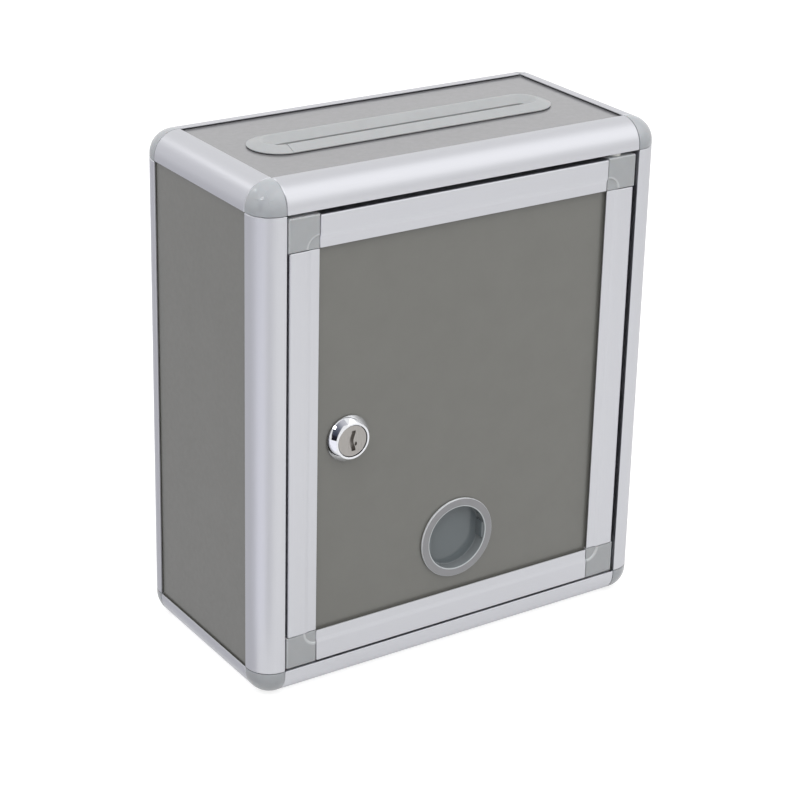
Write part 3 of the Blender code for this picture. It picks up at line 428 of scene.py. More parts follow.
def turned(name, profile, steps=96, closed=False):
    """A profile of (radius, height) points turned about local Z."""
    mesh = bpy.data.meshes.new(name)
    edges = [(index, index + 1) for index in range(len(profile) - 1)]
    if closed:
        edges.append((len(profile) - 1, 0))
    mesh.from_pydata([(radius, 0, height) for radius, height in profile], edges, [])
    piece = linked(name, mesh)
    screw = piece.modifiers.new("turn", "SCREW")
    screw.steps = steps
    screw.render_steps = steps
    screw.use_merge_vertices = True
    screw.merge_threshold = WELD
    return settle(piece)


def block(name, low, high):
    """Box between two opposite corners, used only as a cutting or joining tool."""
    mesh = bpy.data.meshes.new(name)
    work = bmesh.new()
    bmesh.ops.create_cube(work, size=1)
    bmesh.ops.scale(work, vec=Vector(high) - Vector(low), verts=work.verts)
    bmesh.ops.translate(work, vec=(Vector(low) + Vector(high)) / 2, verts=work.verts)
    work.to_mesh(mesh)
    work.free()
    return linked(name, mesh)


def bevelled(piece, picked, width, steps):
    """Round the edges that picked() chooses from their two ends."""
    work = bmesh.new()
    work.from_mesh(piece.data)
    edges = [edge for edge in work.edges if picked(edge.verts[0].co, edge.verts[1].co)]
    bmesh.ops.bevel(work, geom=edges, offset=width, segments=steps, profile=0.5, affect="EDGES")
    work.to_mesh(piece.data)
    work.free()


def shaped_by(piece, tool, operation="DIFFERENCE"):
    """Cut a tool away from a piece, or join it on, and put the tool away."""
    placed = piece.matrix_world.copy()
    boolean = piece.modifiers.new(operation.lower(), "BOOLEAN")
    boolean.operation = operation
    boolean.solver = "EXACT"
    boolean.object = tool
    settled = settle(piece)
    settled.matrix_world = placed
    bpy.data.objects.remove(tool)
    return settled


print("Shading breaks at", round(math.degrees(SHARP_ANGLE)), "degrees")

# %% Tools for placing pieces
def lay(piece, origin, x_axis, y_axis):
    """Lay a piece's local X and Y along two directions at right angles."""
    turn = Matrix((x_axis, y_axis, x_axis.cross(y_axis))).transposed().to_4x4()
    piece.matrix_world = Matrix.Translation(origin) @ turn
    return piece


def unmirrored(first, second, outward):
    """Two directions in the order that keeps a corner piece from being mirrored."""
    return (second, first) if first.cross(second).dot(outward) < 0 else (first, second)


def middle_of(node):
    return (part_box(node)[0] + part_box(node)[1]) / 2


def stand_in(piece, node, finish):
    """Let a finer piece take a solid's place, on the same body and with the finish given."""
    piece.name = node + "_finished"
    weighted = piece.modifiers.new("even shading", "WEIGHTED_NORMAL")
    weighted.keep_sharp = True
    piece.data.materials.clear()
    piece.data.materials.append(finish)
    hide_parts(node)
    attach(piece, body_of[node])


print("The middle of the door's sheet is at", [round(x, 4) for x in middle_of("door_panel")])

# %% [markdown]
# ## Sheets that stay as they are
# The five case sheets and the door's sheet are flat, and their holes are already fine enough.
# They keep their measured shape and only change their finish, which is the least work and can't
# go wrong.

# %% Finish the flat sheets
for node, thing in frame["nodes"].items():
    if slot_of[node] == "grey_panel":
        thing.data.materials.clear()
        thing.data.materials.append(top_sheet_painted_light if node == "panel_top" else coated_sheet)
        print("Coated", node)

# %% [markdown]
# ## The case's extruded edges
# Every edge of the case has one section: a large quarter round, a thin lip on each side, and
# grooves that hold the sheets. It could be modelled as a box with a bevel, but then the lips that
# cast the dark line beside each sheet would be lost. So the true section is drawn once, with the
# quarter round in many small steps, and drawn out to each length. Most lips are undercut, which
# deepens that line. The back posts' lips are blunt, because the light catches their whole edge.

# %% The section's sizes
FACE_WIDTH = 0.0135
CORNER_RADIUS = 0.012
SKIN = 0.0012
LIP = 0.0010
LIP_EDGE = 0.0006
EDGE_EASE = 0.0003
LIP_UNDERCUT = 0.0013
CHAMBER = 0.0083
GROOVE_FLOOR = 0.0093
GROOVE_BACK = 0.0045
INNER_LIP_BACK = 0.0055
STOP_FRONT = 0.0103
STOP_BACK = 0.0115
STOP_EDGE = 0.0170
ROUND_STEPS = 36


def chamber(shrink=0.0):
    """The hollow behind the round, or with a shrink the tenon that fills it."""
    limit = CHAMBER - shrink
    radius = CORNER_RADIUS - SKIN - shrink
    reach = math.degrees(math.asin((CORNER_RADIUS - limit) / radius))
    middle = CORNER_RADIUS
    return [(limit, limit)] + arc(middle, middle, radius, 270 - reach, 180 + reach, ROUND_STEPS)


quarter_round = arc(CORNER_RADIUS, CORNER_RADIUS, CORNER_RADIUS, 270, 180, ROUND_STEPS)
groove = [(0, FACE_WIDTH), (LIP_EDGE, FACE_WIDTH), (LIP, FACE_WIDTH - LIP_UNDERCUT), (LIP, GROOVE_FLOOR),
          (GROOVE_BACK, GROOVE_FLOOR), (GROOVE_BACK, FACE_WIDTH), (INNER_LIP_BACK, FACE_WIDTH)]
blunt_groove = [(0, FACE_WIDTH), (LIP, FACE_WIDTH)] + groove[3:]
inner_corner = [(INNER_LIP_BACK, GROOVE_FLOOR), (GROOVE_FLOOR, GROOVE_FLOOR),
                (GROOVE_FLOOR, INNER_LIP_BACK)]
half_outline = quarter_round + groove
plain_outline = half_outline + inner_corner + mirrored(groove)
blunt_outline = quarter_round + blunt_groove + inner_corner + mirrored(blunt_groove)
open_outline = half_outline + [(INNER_LIP_BACK, STOP_BACK), (FACE_WIDTH, STOP_BACK), (FACE_WIDTH, 0)]
stop_outline = half_outline + [(INNER_LIP_BACK, STOP_BACK), (STOP_EDGE, STOP_BACK), (STOP_EDGE, STOP_FRONT),
                               (FACE_WIDTH, STOP_FRONT), (FACE_WIDTH, 0)]
box_hollow = rectangle(GROOVE_FLOOR, SKIN, FACE_WIDTH - SKIN, STOP_FRONT)
plain_section = [eased(plain_outline, EDGE_EASE), chamber()]
blunt_section = [eased(blunt_outline, EDGE_EASE), chamber()]
open_section = [eased(open_outline, EDGE_EASE), chamber(), box_hollow]
stop_section = [eased(stop_outline, EDGE_EASE), chamber(), box_hollow]
print("Section points:", [len(section[0]) for section in (plain_section, open_section, stop_section)])

# %% Draw out the twelve edges
case_low = Vector((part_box("post_back_left")[0].x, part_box("post_front_left")[0].y, 0.0))
case_high = Vector((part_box("post_back_right")[1].x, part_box("post_back_left")[1].y,
                    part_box("rail_top_left")[1].z))
case_middle = (case_low + case_high) / 2
case_sides = (("left", case_low.x, X_AXIS), ("right", case_high.x, -X_AXIS))
case_faces = (("front", case_low.y, Y_AXIS), ("back", case_high.y, -Y_AXIS))
case_levels = (("top", case_high.z, -Z_AXIS), ("bottom", case_low.z, Z_AXIS))


def finish_edge(node, section, corner, inward_u, inward_v):
    """Draw one edge to its solid's own length and stand it in the solid's place."""
    low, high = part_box(node)
    length = abs((high - low).dot(inward_u.cross(inward_v)))
    edge = drawn_out(node, section, length, EDGE_EASE)
    stand_in(lay(edge, corner, inward_u, inward_v), node, aluminium)


for side, x, inward in case_sides:
    front_section = stop_section if side == "left" else open_section
    finish_edge("post_front_" + side, front_section, (x, case_low.y, case_middle.z), inward, Y_AXIS)
    finish_edge("post_back_" + side, blunt_section, (x, case_high.y, case_middle.z), inward, -Y_AXIS)
    for level, z, upward in case_levels:
        finish_edge("rail_" + level + "_" + side, plain_section, (x, case_middle.y, z), inward, upward)
for level, z, upward in case_levels:
    finish_edge("rail_" + level + "_front", open_section, (0, case_low.y, z), upward, Y_AXIS)
    finish_edge("rail_" + level + "_back", plain_section, (0, case_high.y, z), upward, -Y_AXIS)
print("Drew out 12 edges")

# %% [markdown]
# ## Ball corners
# Each corner is a moulded cube whose outer corner is a ball, with tenons pushed into the three
# extrusions. Rounding three meeting edges of a cube by the same radius makes exactly that ball. A
# second, tiny round on the rims leaves the fine seam that shows between plastic and metal.

# %% Mould the ball corners
BALL_STEPS = 18
RIM_EASE = 0.00025
TENON_START = 0.006
TENON_END = 0.0257
FIT_GAP = 0.0003


def ball_corner():
    cube = block("ball", (0, 0, 0), (FACE_WIDTH, FACE_WIDTH, FACE_WIDTH))
    bevelled(cube, lambda a, b: min(a.length, b.length) < WELD, CORNER_RADIUS, BALL_STEPS)

    def on_rim(a, b):
        inner = [axis for axis in range(3) if min(a[axis], b[axis]) > FACE_WIDTH - WELD]
        return len(inner) == 1

    bevelled(cube, on_rim, RIM_EASE, 2)
    for axes in ((X_AXIS, Y_AXIS), (Y_AXIS, Z_AXIS), (Z_AXIS, X_AXIS)):
        tenon = drawn_out("tenon", [chamber(FIT_GAP)], TENON_END - TENON_START)
        lay(tenon, axes[0].cross(axes[1]) * (TENON_START + TENON_END) / 2, *axes)
        cube = shaped_by(cube, tenon, "UNION")
    return cube


pattern_ball = ball_corner()
for level, z, upward in case_levels:
    for face, y, inward_y in case_faces:
        for side, x, inward_x in case_sides:
            ball = linked("ball", pattern_ball.data)
            lay(ball, (x, y, z), *unmirrored(inward_x, inward_y, upward))
            stand_in(ball, "ball_" + level + "_" + face + "_" + side, ball_grey)
bpy.data.objects.remove(pattern_ball)
print("Moulded 8 ball corners")

# %% [markdown]
# ## The posting slot's trim
# The trim is one moulding: a low outer edge, a slope up to a ridge, a slope down to the narrow
# slot, and a skirt with a bead that clips under the top sheet. A sweep along a curve would pinch
# at the round ends, so each point of the section is carried round its own stadium outline, and
# neighbours are bridged by faces. A hairline across the front limb is the line where two flows of
# plastic met.

# %% Mould the slot's trim
SLOT_X = -0.0011
SLOT_HALF_LENGTH = 0.0676
SLOT_HALF_WIDTH = 0.0024
TRIM_RADIUS = 0.0145
TRIM_EDGE_HEIGHT = 0.0009
TRIM_RIDGE_HEIGHT = 0.0031
TRIM_RIDGE_RADIUS = 0.0080
TRIM_RIDGE_ROUNDING = 0.0010
TRIM_MOUTH_HEIGHT = 0.0
TRIM_SKIRT_RADIUS = 0.0037
TRIM_SKIRT_END = -0.0080
TRIM_BEAD_RADIUS = 0.0043
TRIM_BEAD_TOP = -0.0033
TRIM_BEAD_CREST = -0.0039
TRIM_BEAD_END = -0.0051
TRIM_SEAT = 0.00025
TRIM_FOOT = 0.00025
TRIM_END_STEPS = 36
TRIM_RIDGE_STEPS = 8


def trim_ridge():
    """The visible ridge: an outer slope, a small round along the top, and an inner slope."""
    outer = Vector((TRIM_RADIUS, TRIM_EDGE_HEIGHT))
    peak = Vector((TRIM_RIDGE_RADIUS, TRIM_RIDGE_HEIGHT))
    inner = Vector((SLOT_HALF_WIDTH, TRIM_MOUTH_HEIGHT))
    start = peak + (outer - peak).normalized() * TRIM_RIDGE_ROUNDING
    end = peak + (inner - peak).normalized() * TRIM_RIDGE_ROUNDING
    return [tuple(outer)] + bend(start, peak, end, TRIM_RIDGE_STEPS) + [tuple(inner)]


def trim_moulding():
    section = trim_ridge() + [
        (SLOT_HALF_WIDTH, TRIM_SKIRT_END), (TRIM_SKIRT_RADIUS, TRIM_SKIRT_END),
        (TRIM_SKIRT_RADIUS, TRIM_BEAD_END), (TRIM_BEAD_RADIUS, TRIM_BEAD_CREST),
        (TRIM_BEAD_RADIUS, TRIM_BEAD_TOP), (TRIM_SKIRT_RADIUS, TRIM_BEAD_TOP),
        (TRIM_SKIRT_RADIUS, TRIM_SEAT), (TRIM_RADIUS - 2 * TRIM_FOOT, TRIM_SEAT),
        (TRIM_RADIUS, TRIM_SEAT + TRIM_FOOT)]
    mesh = bpy.data.meshes.new("trim")
    work = bmesh.new()
    rings = []
    for radius, height in eased(section, radius=0.0001):
        loop = arc(SLOT_HALF_LENGTH, 0, radius, -90, 90, TRIM_END_STEPS)
        loop += arc(-SLOT_HALF_LENGTH, 0, radius, 90, 270, TRIM_END_STEPS)
        rings.append([work.verts.new((x, y, height)) for x, y in loop])
    for first, second in zip(rings, rings[1:] + rings[:1]):
        for index in range(len(first)):
            following = (index + 1) % len(first)
            work.faces.new((first[index], first[following], second[following], second[index]))
    work.to_mesh(mesh)
    work.free()
    return settle(linked("trim", mesh))


FLOW_LINE_X = -0.0679
FLOW_LINE_WIDTH = 0.0005
FLOW_LINE_DEPTH = 0.00025
BLADE_REACH = 0.0150
BLADE_TOP = 0.0060

lowered = [(-radius, height - FLOW_LINE_DEPTH) for radius, height in trim_ridge()]
blade_outline = [(-BLADE_REACH, TRIM_EDGE_HEIGHT - FLOW_LINE_DEPTH)] + lowered
blade_outline += [(-SLOT_HALF_WIDTH, BLADE_TOP), (-BLADE_REACH, BLADE_TOP)]
blade = drawn_out("blade", [blade_outline], FLOW_LINE_WIDTH, HAIR)
lay(blade, (FLOW_LINE_X, 0, 0), Y_AXIS, Z_AXIS)
trim = shaped_by(trim_moulding(), blade)
lay(trim, (SLOT_X, case_middle.y, case_high.z - LIP - TRIM_SEAT), X_AXIS, Y_AXIS)
stand_in(trim, "slot_trim", trim_grey)

# %% [markdown]
# ## The door's rails
# The door's frame is a flat band with a small step down to an inner lip that holds the sheet. The
# step shows as a soft shade along every rail, so it is drawn in the section as a gentle double
# curve. A hollow inside takes the tenons of the corner pieces.

# %% Draw out the door's rails
DOOR_CORNER = 0.0160
DOOR_THICKNESS = 0.0085
RAIL_SETBACK = 0.0005
RAIL_WIDTH = 0.0155
RAIL_STEP = 0.0006
RAIL_LIP_BACK = 0.0023
RAIL_GROOVE_BACK = 0.0059
RAIL_BACK_LIP = 0.0071
RAIL_GROOVE_FLOOR = 0.0100
RAIL_EDGE_RADIUS = 0.0010
LOW_EDGE_RADIUS = 0.0004
LOW_RAIL_SETBACK = 0.0002
STEP_START = 0.0088
STEP_END = 0.0116
STEP_STEPS = 12
HOLLOW_START = 0.0011
HOLLOW_WIDTH_END = 0.0089
HOLLOW_DEPTH_END = 0.0074


def soft_step():
    """The step from the rail's face down to its inner lip, as a gentle double curve."""
    return [(STEP_START + (STEP_END - STEP_START) * share, RAIL_STEP * (1 - math.cos(math.pi * share)) / 2)
            for share in shares(STEP_STEPS)]


def rail_section(edge_radius):
    """The rail's section, with its outer front edge rounded by the given radius, and its hollow."""
    outline = arc(edge_radius, edge_radius, edge_radius, 180, 270, 8) + soft_step()
    outline += [(RAIL_WIDTH, RAIL_STEP), (RAIL_WIDTH, RAIL_STEP + LIP_EDGE),
                (RAIL_WIDTH - LIP_UNDERCUT, RAIL_LIP_BACK), (RAIL_GROOVE_FLOOR, RAIL_LIP_BACK),
                (RAIL_GROOVE_FLOOR, RAIL_GROOVE_BACK), (RAIL_WIDTH, RAIL_GROOVE_BACK),
                (RAIL_WIDTH, RAIL_BACK_LIP), (RAIL_GROOVE_FLOOR, RAIL_BACK_LIP),
                (RAIL_GROOVE_FLOOR, DOOR_THICKNESS), (0, DOOR_THICKNESS)]
    return [eased(outline), rectangle(HOLLOW_START, HOLLOW_START, HOLLOW_WIDTH_END, HOLLOW_DEPTH_END)]


door_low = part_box("door_corner_bottom_left")[0]
door_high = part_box("door_corner_top_right")[1]
door_middle = (door_low + door_high) / 2
usual_section = rail_section(RAIL_EDGE_RADIUS)
for side, x, inward in (("left", door_low.x + RAIL_SETBACK, X_AXIS),
                        ("right", door_high.x - RAIL_SETBACK, -X_AXIS)):
    finish_edge("door_stile_" + side, usual_section, (x, door_low.y, door_middle.z), inward, Y_AXIS)
finish_edge("door_rail_top", usual_section, (0, door_low.y, door_high.z - RAIL_SETBACK), -Z_AXIS, Y_AXIS)
finish_edge("door_rail_bottom", rail_section(LOW_EDGE_RADIUS),
            (0, door_low.y, door_low.z + LOW_RAIL_SETBACK), Z_AXIS, Y_AXIS)
print("Door opening frame", round(door_high.x - door_low.x, 4), "by", round(door_high.z - door_low.z, 4))

# %% [markdown]
# ## The door's corner pieces
# A square moulding joins two rails, and a quarter disc at its inner corner is sunk to the level of
# the rails' inner lips. The plate is drawn out with soft rims, the quarter disc is joined on
# lower down, and two tenons go into the rails. The right-hand pieces are bored for the hinge pins.

# %% Mould the door's corners
QUARTER_RADIUS = 0.0058
CORNER_RIM = 0.0008
CORNER_TIP_RADIUS = 0.0006
TENON_REACH = 0.0282
PIN_HOLE_RADIUS = 0.0018
PIN_HOLE_OVERRUN = 0.0003
PIN_STEPS = 48
PIVOT = middle_of("hinge_pin_top")
RIM_HIGHLIGHT_COLOUR = (0.50, 0.515, 0.525)


def door_corner():
    notch = arc(DOOR_CORNER, DOOR_CORNER, QUARTER_RADIUS, 270, 180, 20)
    tip = arc(CORNER_TIP_RADIUS, CORNER_TIP_RADIUS, CORNER_TIP_RADIUS, 180, 270, 4)
    outline = tip + [(DOOR_CORNER, 0)] + notch + [(0, DOOR_CORNER)]
    plate = drawn_out("plate", [outline], DOOR_THICKNESS, CORNER_RIM, 2, start=0)
    disc_outline = [(DOOR_CORNER, DOOR_CORNER)]
    disc_outline += arc(DOOR_CORNER, DOOR_CORNER, QUARTER_RADIUS + CORNER_RIM + EASE, 180, 270, 20)
    disc = drawn_out("disc", [disc_outline], DOOR_THICKNESS - RAIL_STEP - CORNER_RIM, start=RAIL_STEP)
    plate = shaped_by(plate, disc, "UNION")
    start = DOOR_CORNER / 2
    low = HOLLOW_START + FIT_GAP
    high_u = HOLLOW_WIDTH_END - FIT_GAP + RAIL_SETBACK
    high_v = HOLLOW_DEPTH_END - FIT_GAP
    across = block("tenon", (start, low + RAIL_SETBACK, low), (TENON_REACH, high_u, high_v))
    upright = block("tenon", (low + RAIL_SETBACK, start, low), (high_u, TENON_REACH, high_v))
    return shaped_by(shaped_by(plate, across, "UNION"), upright, "UNION")


# Painted highlights along the corner pieces' rims and round their discs.
paint_rim_highlights(corner_grey, DOOR_CORNER, QUARTER_RADIUS, CORNER_RIM, RIM_HIGHLIGHT_COLOUR)
pattern_corner = door_corner()
for level, z, inward_z in (("top", door_high.z, -Z_AXIS), ("bottom", door_low.z, Z_AXIS)):
    for side, x, inward_x in (("left", door_low.x, X_AXIS), ("right", door_high.x, -X_AXIS)):
        corner = linked("corner", pattern_corner.data.copy())
        lay(corner, (x, door_low.y, z), *unmirrored(inward_x, inward_z, Y_AXIS))
        if side == "right":
            low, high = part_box("hinge_pin_" + level)
            bore = tube(0, PIN_HOLE_RADIUS, low.z - PIN_HOLE_OVERRUN, high.z + PIN_HOLE_OVERRUN)
            hole = turned("hole", bore, PIN_STEPS)
            hole.location = (PIVOT.x, PIVOT.y, 0)
            corner = shaped_by(corner, hole)
        stand_in(corner, "door_corner_" + level + "_" + side, corner_grey)
bpy.data.objects.remove(pattern_corner)
print("Moulded 4 door corners")

# %% [markdown]
# ## Pins and washers of the hinge
# The door turns on two plain steel pins. Each passes through a nylon washer that keeps the door
# off the frame, and the upper washer just shows in the gap above the door.

# %% Turn the pins and washers
PIN_EASE = 0.0003

for level in ("top", "bottom"):
    low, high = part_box("hinge_pin_" + level)
    rod = eased(tube(0, high.x - PIVOT.x, low.z, high.z), PIN_EASE, closed=False)
    pin = turned("pin", rod, PIN_STEPS)
    pin.location = (PIVOT.x, PIVOT.y, 0)
    stand_in(pin, "hinge_pin_" + level, zinc)
    low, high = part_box("hinge_washer_" + level)
    ring = eased(tube(PIN_HOLE_RADIUS, high.x - PIVOT.x, low.z, high.z))
    washer = turned("washer", ring, PIN_STEPS, closed=True)
    washer.location = (PIVOT.x, PIVOT.y, 0)
    stand_in(washer, "hinge_washer_" + level, nylon)
print("Hinge axis at", round(PIVOT.x, 4), round(PIVOT.y, 4))

# %% [markdown]
# ## The cam lock
# From the front the lock is a chromed cone with a flat bright rim round a satin plug. Behind the
# door it has a threaded barrel with two flats, a washer, a hexagonal nut, and a cranked cam held
# by a screw. Each is turned or drawn out from its section. Heights are measured forwards from the
# face of the door's sheet.

# %% Turn the lock's housing
LOCK_CENTRE = middle_of("lock_housing")
SHEET_FACE_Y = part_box("door_panel")[0].y
NOSE = 0.0047
RIM_RADIUS = 0.0087
RIM_INNER = 0.0078
SEAT_HEIGHT = 0.0026
PLUG_BORE = 0.0065
CONE_RADIUS = 0.01125
CONE_FOOT = 0.0008
CONE_BULGE = Vector((0.0002, 0.000132))
CONE_STEPS = 8
BASE_EDGE = 0.0005
BASE_RADIUS = 0.0109
BASE_HEIGHT = 0.0002
LOCK_EASE = 0.0002
BARREL_RADIUS = 0.0090
BARREL_END = -0.0130
FLAT_HALF_WIDTH = 0.0080
FLAT_OVERRUN = 0.0020
THREAD_START = -0.0036
THREAD_PITCH = 0.0010
THREAD_DEPTH = 0.0005


def at_lock(piece):
    return lay(piece, (LOCK_CENTRE.x, SHEET_FACE_Y, LOCK_CENTRE.z), X_AXIS, Z_AXIS)


def barrel_thread():
    """Rings of a thread, from behind the sheet to the barrel's end."""
    points = []
    height = THREAD_START
    while height > BARREL_END + THREAD_PITCH:
        points.append((BARREL_RADIUS, height))
        points.append((BARREL_RADIUS - THREAD_DEPTH, height - THREAD_PITCH / 2))
        height -= THREAD_PITCH
    return points + [(BARREL_RADIUS, height)]


def lock_housing():
    """The cone, which bulges a little from the rim down to its foot, and the barrel behind it."""
    top = Vector((RIM_RADIUS, NOSE))
    foot = Vector((CONE_RADIUS, CONE_FOOT))
    nose = [(PLUG_BORE, SEAT_HEIGHT), (RIM_INNER, SEAT_HEIGHT), (RIM_INNER, NOSE)]
    nose += bend(top, (top + foot) / 2 + CONE_BULGE, foot, CONE_STEPS)
    nose += [(CONE_RADIUS, BASE_EDGE), (BASE_RADIUS, BASE_HEIGHT), (BARREL_RADIUS, BASE_HEIGHT)]
    profile = eased(nose, LOCK_EASE, 4, closed=False) + barrel_thread()
    profile += [(BARREL_RADIUS - THREAD_DEPTH, BARREL_END), (PLUG_BORE, BARREL_END)]
    housing = turned("housing", profile, 128, closed=True)
    clear = FLAT_HALF_WIDTH + 2 * FLAT_OVERRUN
    for low_x, high_x in ((FLAT_HALF_WIDTH, clear), (-clear, -FLAT_HALF_WIDTH)):
        flat = block("flat", (low_x, -2 * BARREL_RADIUS, BARREL_END - FLAT_OVERRUN),
                     (high_x, 2 * BARREL_RADIUS, BASE_HEIGHT))
        housing = shaped_by(housing, flat)
    return housing


stand_in(at_lock(lock_housing()), "lock_housing", chrome)
print("Lock at", round(LOCK_CENTRE.x, 4), round(LOCK_CENTRE.z, 4))

# %% [markdown]
# ## The plug and its keyway
# The plug is the part that turns. Its keyway isn't straight: its sides wave in step, so that only
# the right blank fits. The wave is drawn as an outline and sunk into the face, with a small pit
# beside it.

# %% Turn the plug and cut its keyway
PLUG_FACE = NOSE - 0.0004
PLUG_RADIUS = RIM_INNER - 0.0003
PLUG_HEAD = 0.0014
BODY_RADIUS = 0.0062
BODY_END = BARREL_END - 0.0003
SQUARE_HALF = 0.0035
SQUARE_TOP = BODY_END + 0.0014
SQUARE_END = BODY_END - 0.0020
KEYWAY_HEIGHT = 0.0100
KEYWAY_WIDTH = 0.0021
KEYWAY_WAVE = 0.0006
KEYWAY_DEPTH = 0.0022
KEYWAY_STEPS = 24
PIT_PLACE = (0.0017, -0.0017, PLUG_FACE)
PIT_RADIUS = 0.0007
PIT_FLOOR_RADIUS = 0.0006
PIT_DEPTH = 0.0014
PIT_STRETCH = 1.5
OVERRUN = 0.0010
SCREW_HOLE_RADIUS = 0.0018
SCREW_HOLE_TOP = -0.0077
SCREW_HOLE_END = -0.0180


def keyway():
    side = [(KEYWAY_WAVE * math.cos(2 * math.pi * share), KEYWAY_HEIGHT * (share - 0.5))
            for share in shares(KEYWAY_STEPS)]
    right = [(x + KEYWAY_WIDTH / 2, y) for x, y in side]
    left = [(x - KEYWAY_WIDTH / 2, y) for x, y in reversed(side)]
    return right + left


def lock_plug():
    profile = [(0, PLUG_FACE), (PLUG_RADIUS, PLUG_FACE), (PLUG_RADIUS, PLUG_FACE - PLUG_HEAD),
               (BODY_RADIUS, PLUG_FACE - PLUG_HEAD), (BODY_RADIUS, BODY_END), (0, BODY_END)]
    plug = turned("plug", eased(profile, LOCK_EASE, closed=False))
    square = block("square", (-SQUARE_HALF, -SQUARE_HALF, SQUARE_END), (SQUARE_HALF, SQUARE_HALF, SQUARE_TOP))
    plug = shaped_by(plug, square, "UNION")
    cutter = drawn_out("keyway", [keyway()], 2 * KEYWAY_DEPTH, HAIR)
    plug = shaped_by(plug, lay(cutter, (0, 0, PLUG_FACE), X_AXIS, Y_AXIS))
    pit_profile = [(0, OVERRUN), (PIT_RADIUS, OVERRUN), (PIT_FLOOR_RADIUS, -PIT_DEPTH), (0, -PIT_DEPTH)]
    pit = turned("pit", pit_profile, 24)
    pit.scale.y = PIT_STRETCH
    pit.location = PIT_PLACE
    plug = shaped_by(plug, pit)
    hole = turned("hole", tube(0, SCREW_HOLE_RADIUS, SCREW_HOLE_END, SCREW_HOLE_TOP), 32)
    return shaped_by(plug, hole)


stand_in(at_lock(lock_plug()), "lock_plug", satin_nickel)
print("Keyway is", KEYWAY_DEPTH, "deep")

# %% [markdown]
# ## Behind the door
# A washer and a hexagonal nut clamp the housing to the sheet. The cam is a flat bar, cranked so
# that its tip passes behind the frame, and a cross-headed screw holds it on the plug's square.

# %% Make the washer and the nut
CLEAR_BORE = 0.0093
WASHER_RADIUS = 0.0120
NUT_ACROSS_FLATS = 0.0230
NUT_CHAMFER = 0.0005

low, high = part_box("lock_washer")
ring = eased(tube(CLEAR_BORE, WASHER_RADIUS, SHEET_FACE_Y - high.y, SHEET_FACE_Y - low.y))
stand_in(at_lock(turned("washer", ring, closed=True)), "lock_washer", zinc)

low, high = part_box("lock_nut")
hexagon = arc(0, 0, NUT_ACROSS_FLATS / math.sqrt(3), 0, 360, 6)[:-1]
bore = arc(0, 0, CLEAR_BORE, 0, 360, 64)[:-1]
nut = drawn_out("nut", [eased(hexagon, radius=0.0006), bore], high.y - low.y, NUT_CHAMFER, 1)
lay(nut, (LOCK_CENTRE.x, (low.y + high.y) / 2, LOCK_CENTRE.z), X_AXIS, Z_AXIS)
stand_in(nut, "lock_nut", zinc)
print("Nut is", round(high.y - low.y, 4), "thick")

# %% Make the cam and its screw
CAM_HUB = BODY_END - 0.0003
CAM_THICKNESS = 0.0020
CAM_HALF = 0.0060
CAM_SQUARE_HALF = 0.0038
CRANK_START = 0.0115
CRANK_END = 0.0145
CAM_TIP = SHEET_FACE_Y - (case_low.y + FACE_WIDTH) - 0.0004
CAM_END = middle_of("lock_plug").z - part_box("lock_cam")[0].z
PLAN_HEIGHT = 0.0400


def lock_cam():
    """The cranked side view and the round-ended plan of the cam, where they overlap."""
    front = [(-CAM_HALF, CAM_HUB), (CRANK_START, CAM_HUB), (CRANK_END, CAM_TIP), (CAM_END, CAM_TIP)]
    side = front + [(reach, height - CAM_THICKNESS) for reach, height in reversed(front)]
    cam = drawn_out("cam", [eased(side, radius=0.0008, steps=5)], 4 * CAM_HALF, HAIR)
    bar = eased(rectangle(-CAM_HALF, -CAM_HALF, CAM_END, CAM_HALF), radius=0.0030, steps=10)
    half = CAM_SQUARE_HALF
    plan = drawn_out("plan", [bar, rectangle(-half, -half, half, half)], PLAN_HEIGHT, HAIR)
    middle = (LOCK_CENTRE.x, SHEET_FACE_Y, LOCK_CENTRE.z)
    return shaped_by(lay(cam, middle, -Z_AXIS, -Y_AXIS), lay(plan, middle, -Z_AXIS, X_AXIS), "INTERSECT")


SHANK_RADIUS = 0.0015
SHANK_LENGTH = 0.0075
HEAD_RADIUS = 0.0040
HEAD_CREST_RADIUS = 0.0034
HEAD_EDGE = 0.0006
HEAD_SEAT = SQUARE_END - 0.0006
HEAD_BACK = HEAD_SEAT - 0.0022
CROSS_REACH = 0.0026
CROSS_HALF_WIDTH = 0.00045
CROSS_DEPTH = 0.0009


def cam_screw():
    shank_end = HEAD_SEAT + SHANK_LENGTH
    profile = [(0, shank_end), (SHANK_RADIUS, shank_end), (SHANK_RADIUS, HEAD_SEAT), (HEAD_RADIUS, HEAD_SEAT),
               (HEAD_RADIUS, HEAD_BACK + HEAD_EDGE), (HEAD_CREST_RADIUS, HEAD_BACK), (0, HEAD_BACK)]
    screw = turned("screw", eased(profile, PIN_EASE, closed=False), 64)
    for x, y in ((CROSS_REACH, CROSS_HALF_WIDTH), (CROSS_HALF_WIDTH, CROSS_REACH)):
        slot = block("slot", (-x, -y, HEAD_BACK - OVERRUN), (x, y, HEAD_BACK + CROSS_DEPTH))
        screw = shaped_by(screw, slot)
    return screw


stand_in(lock_cam(), "lock_cam", zinc)
stand_in(at_lock(cam_screw()), "lock_cam_screw", zinc)
print("Lock is complete, with its cam", round(CAM_END, 4), "long")

# %% [markdown]
# ## The viewing window
# The window is a turned cup with a thin flange. Two square blocks stand inside its wall, left and
# right, where the spring catches behind them grip the sheet.

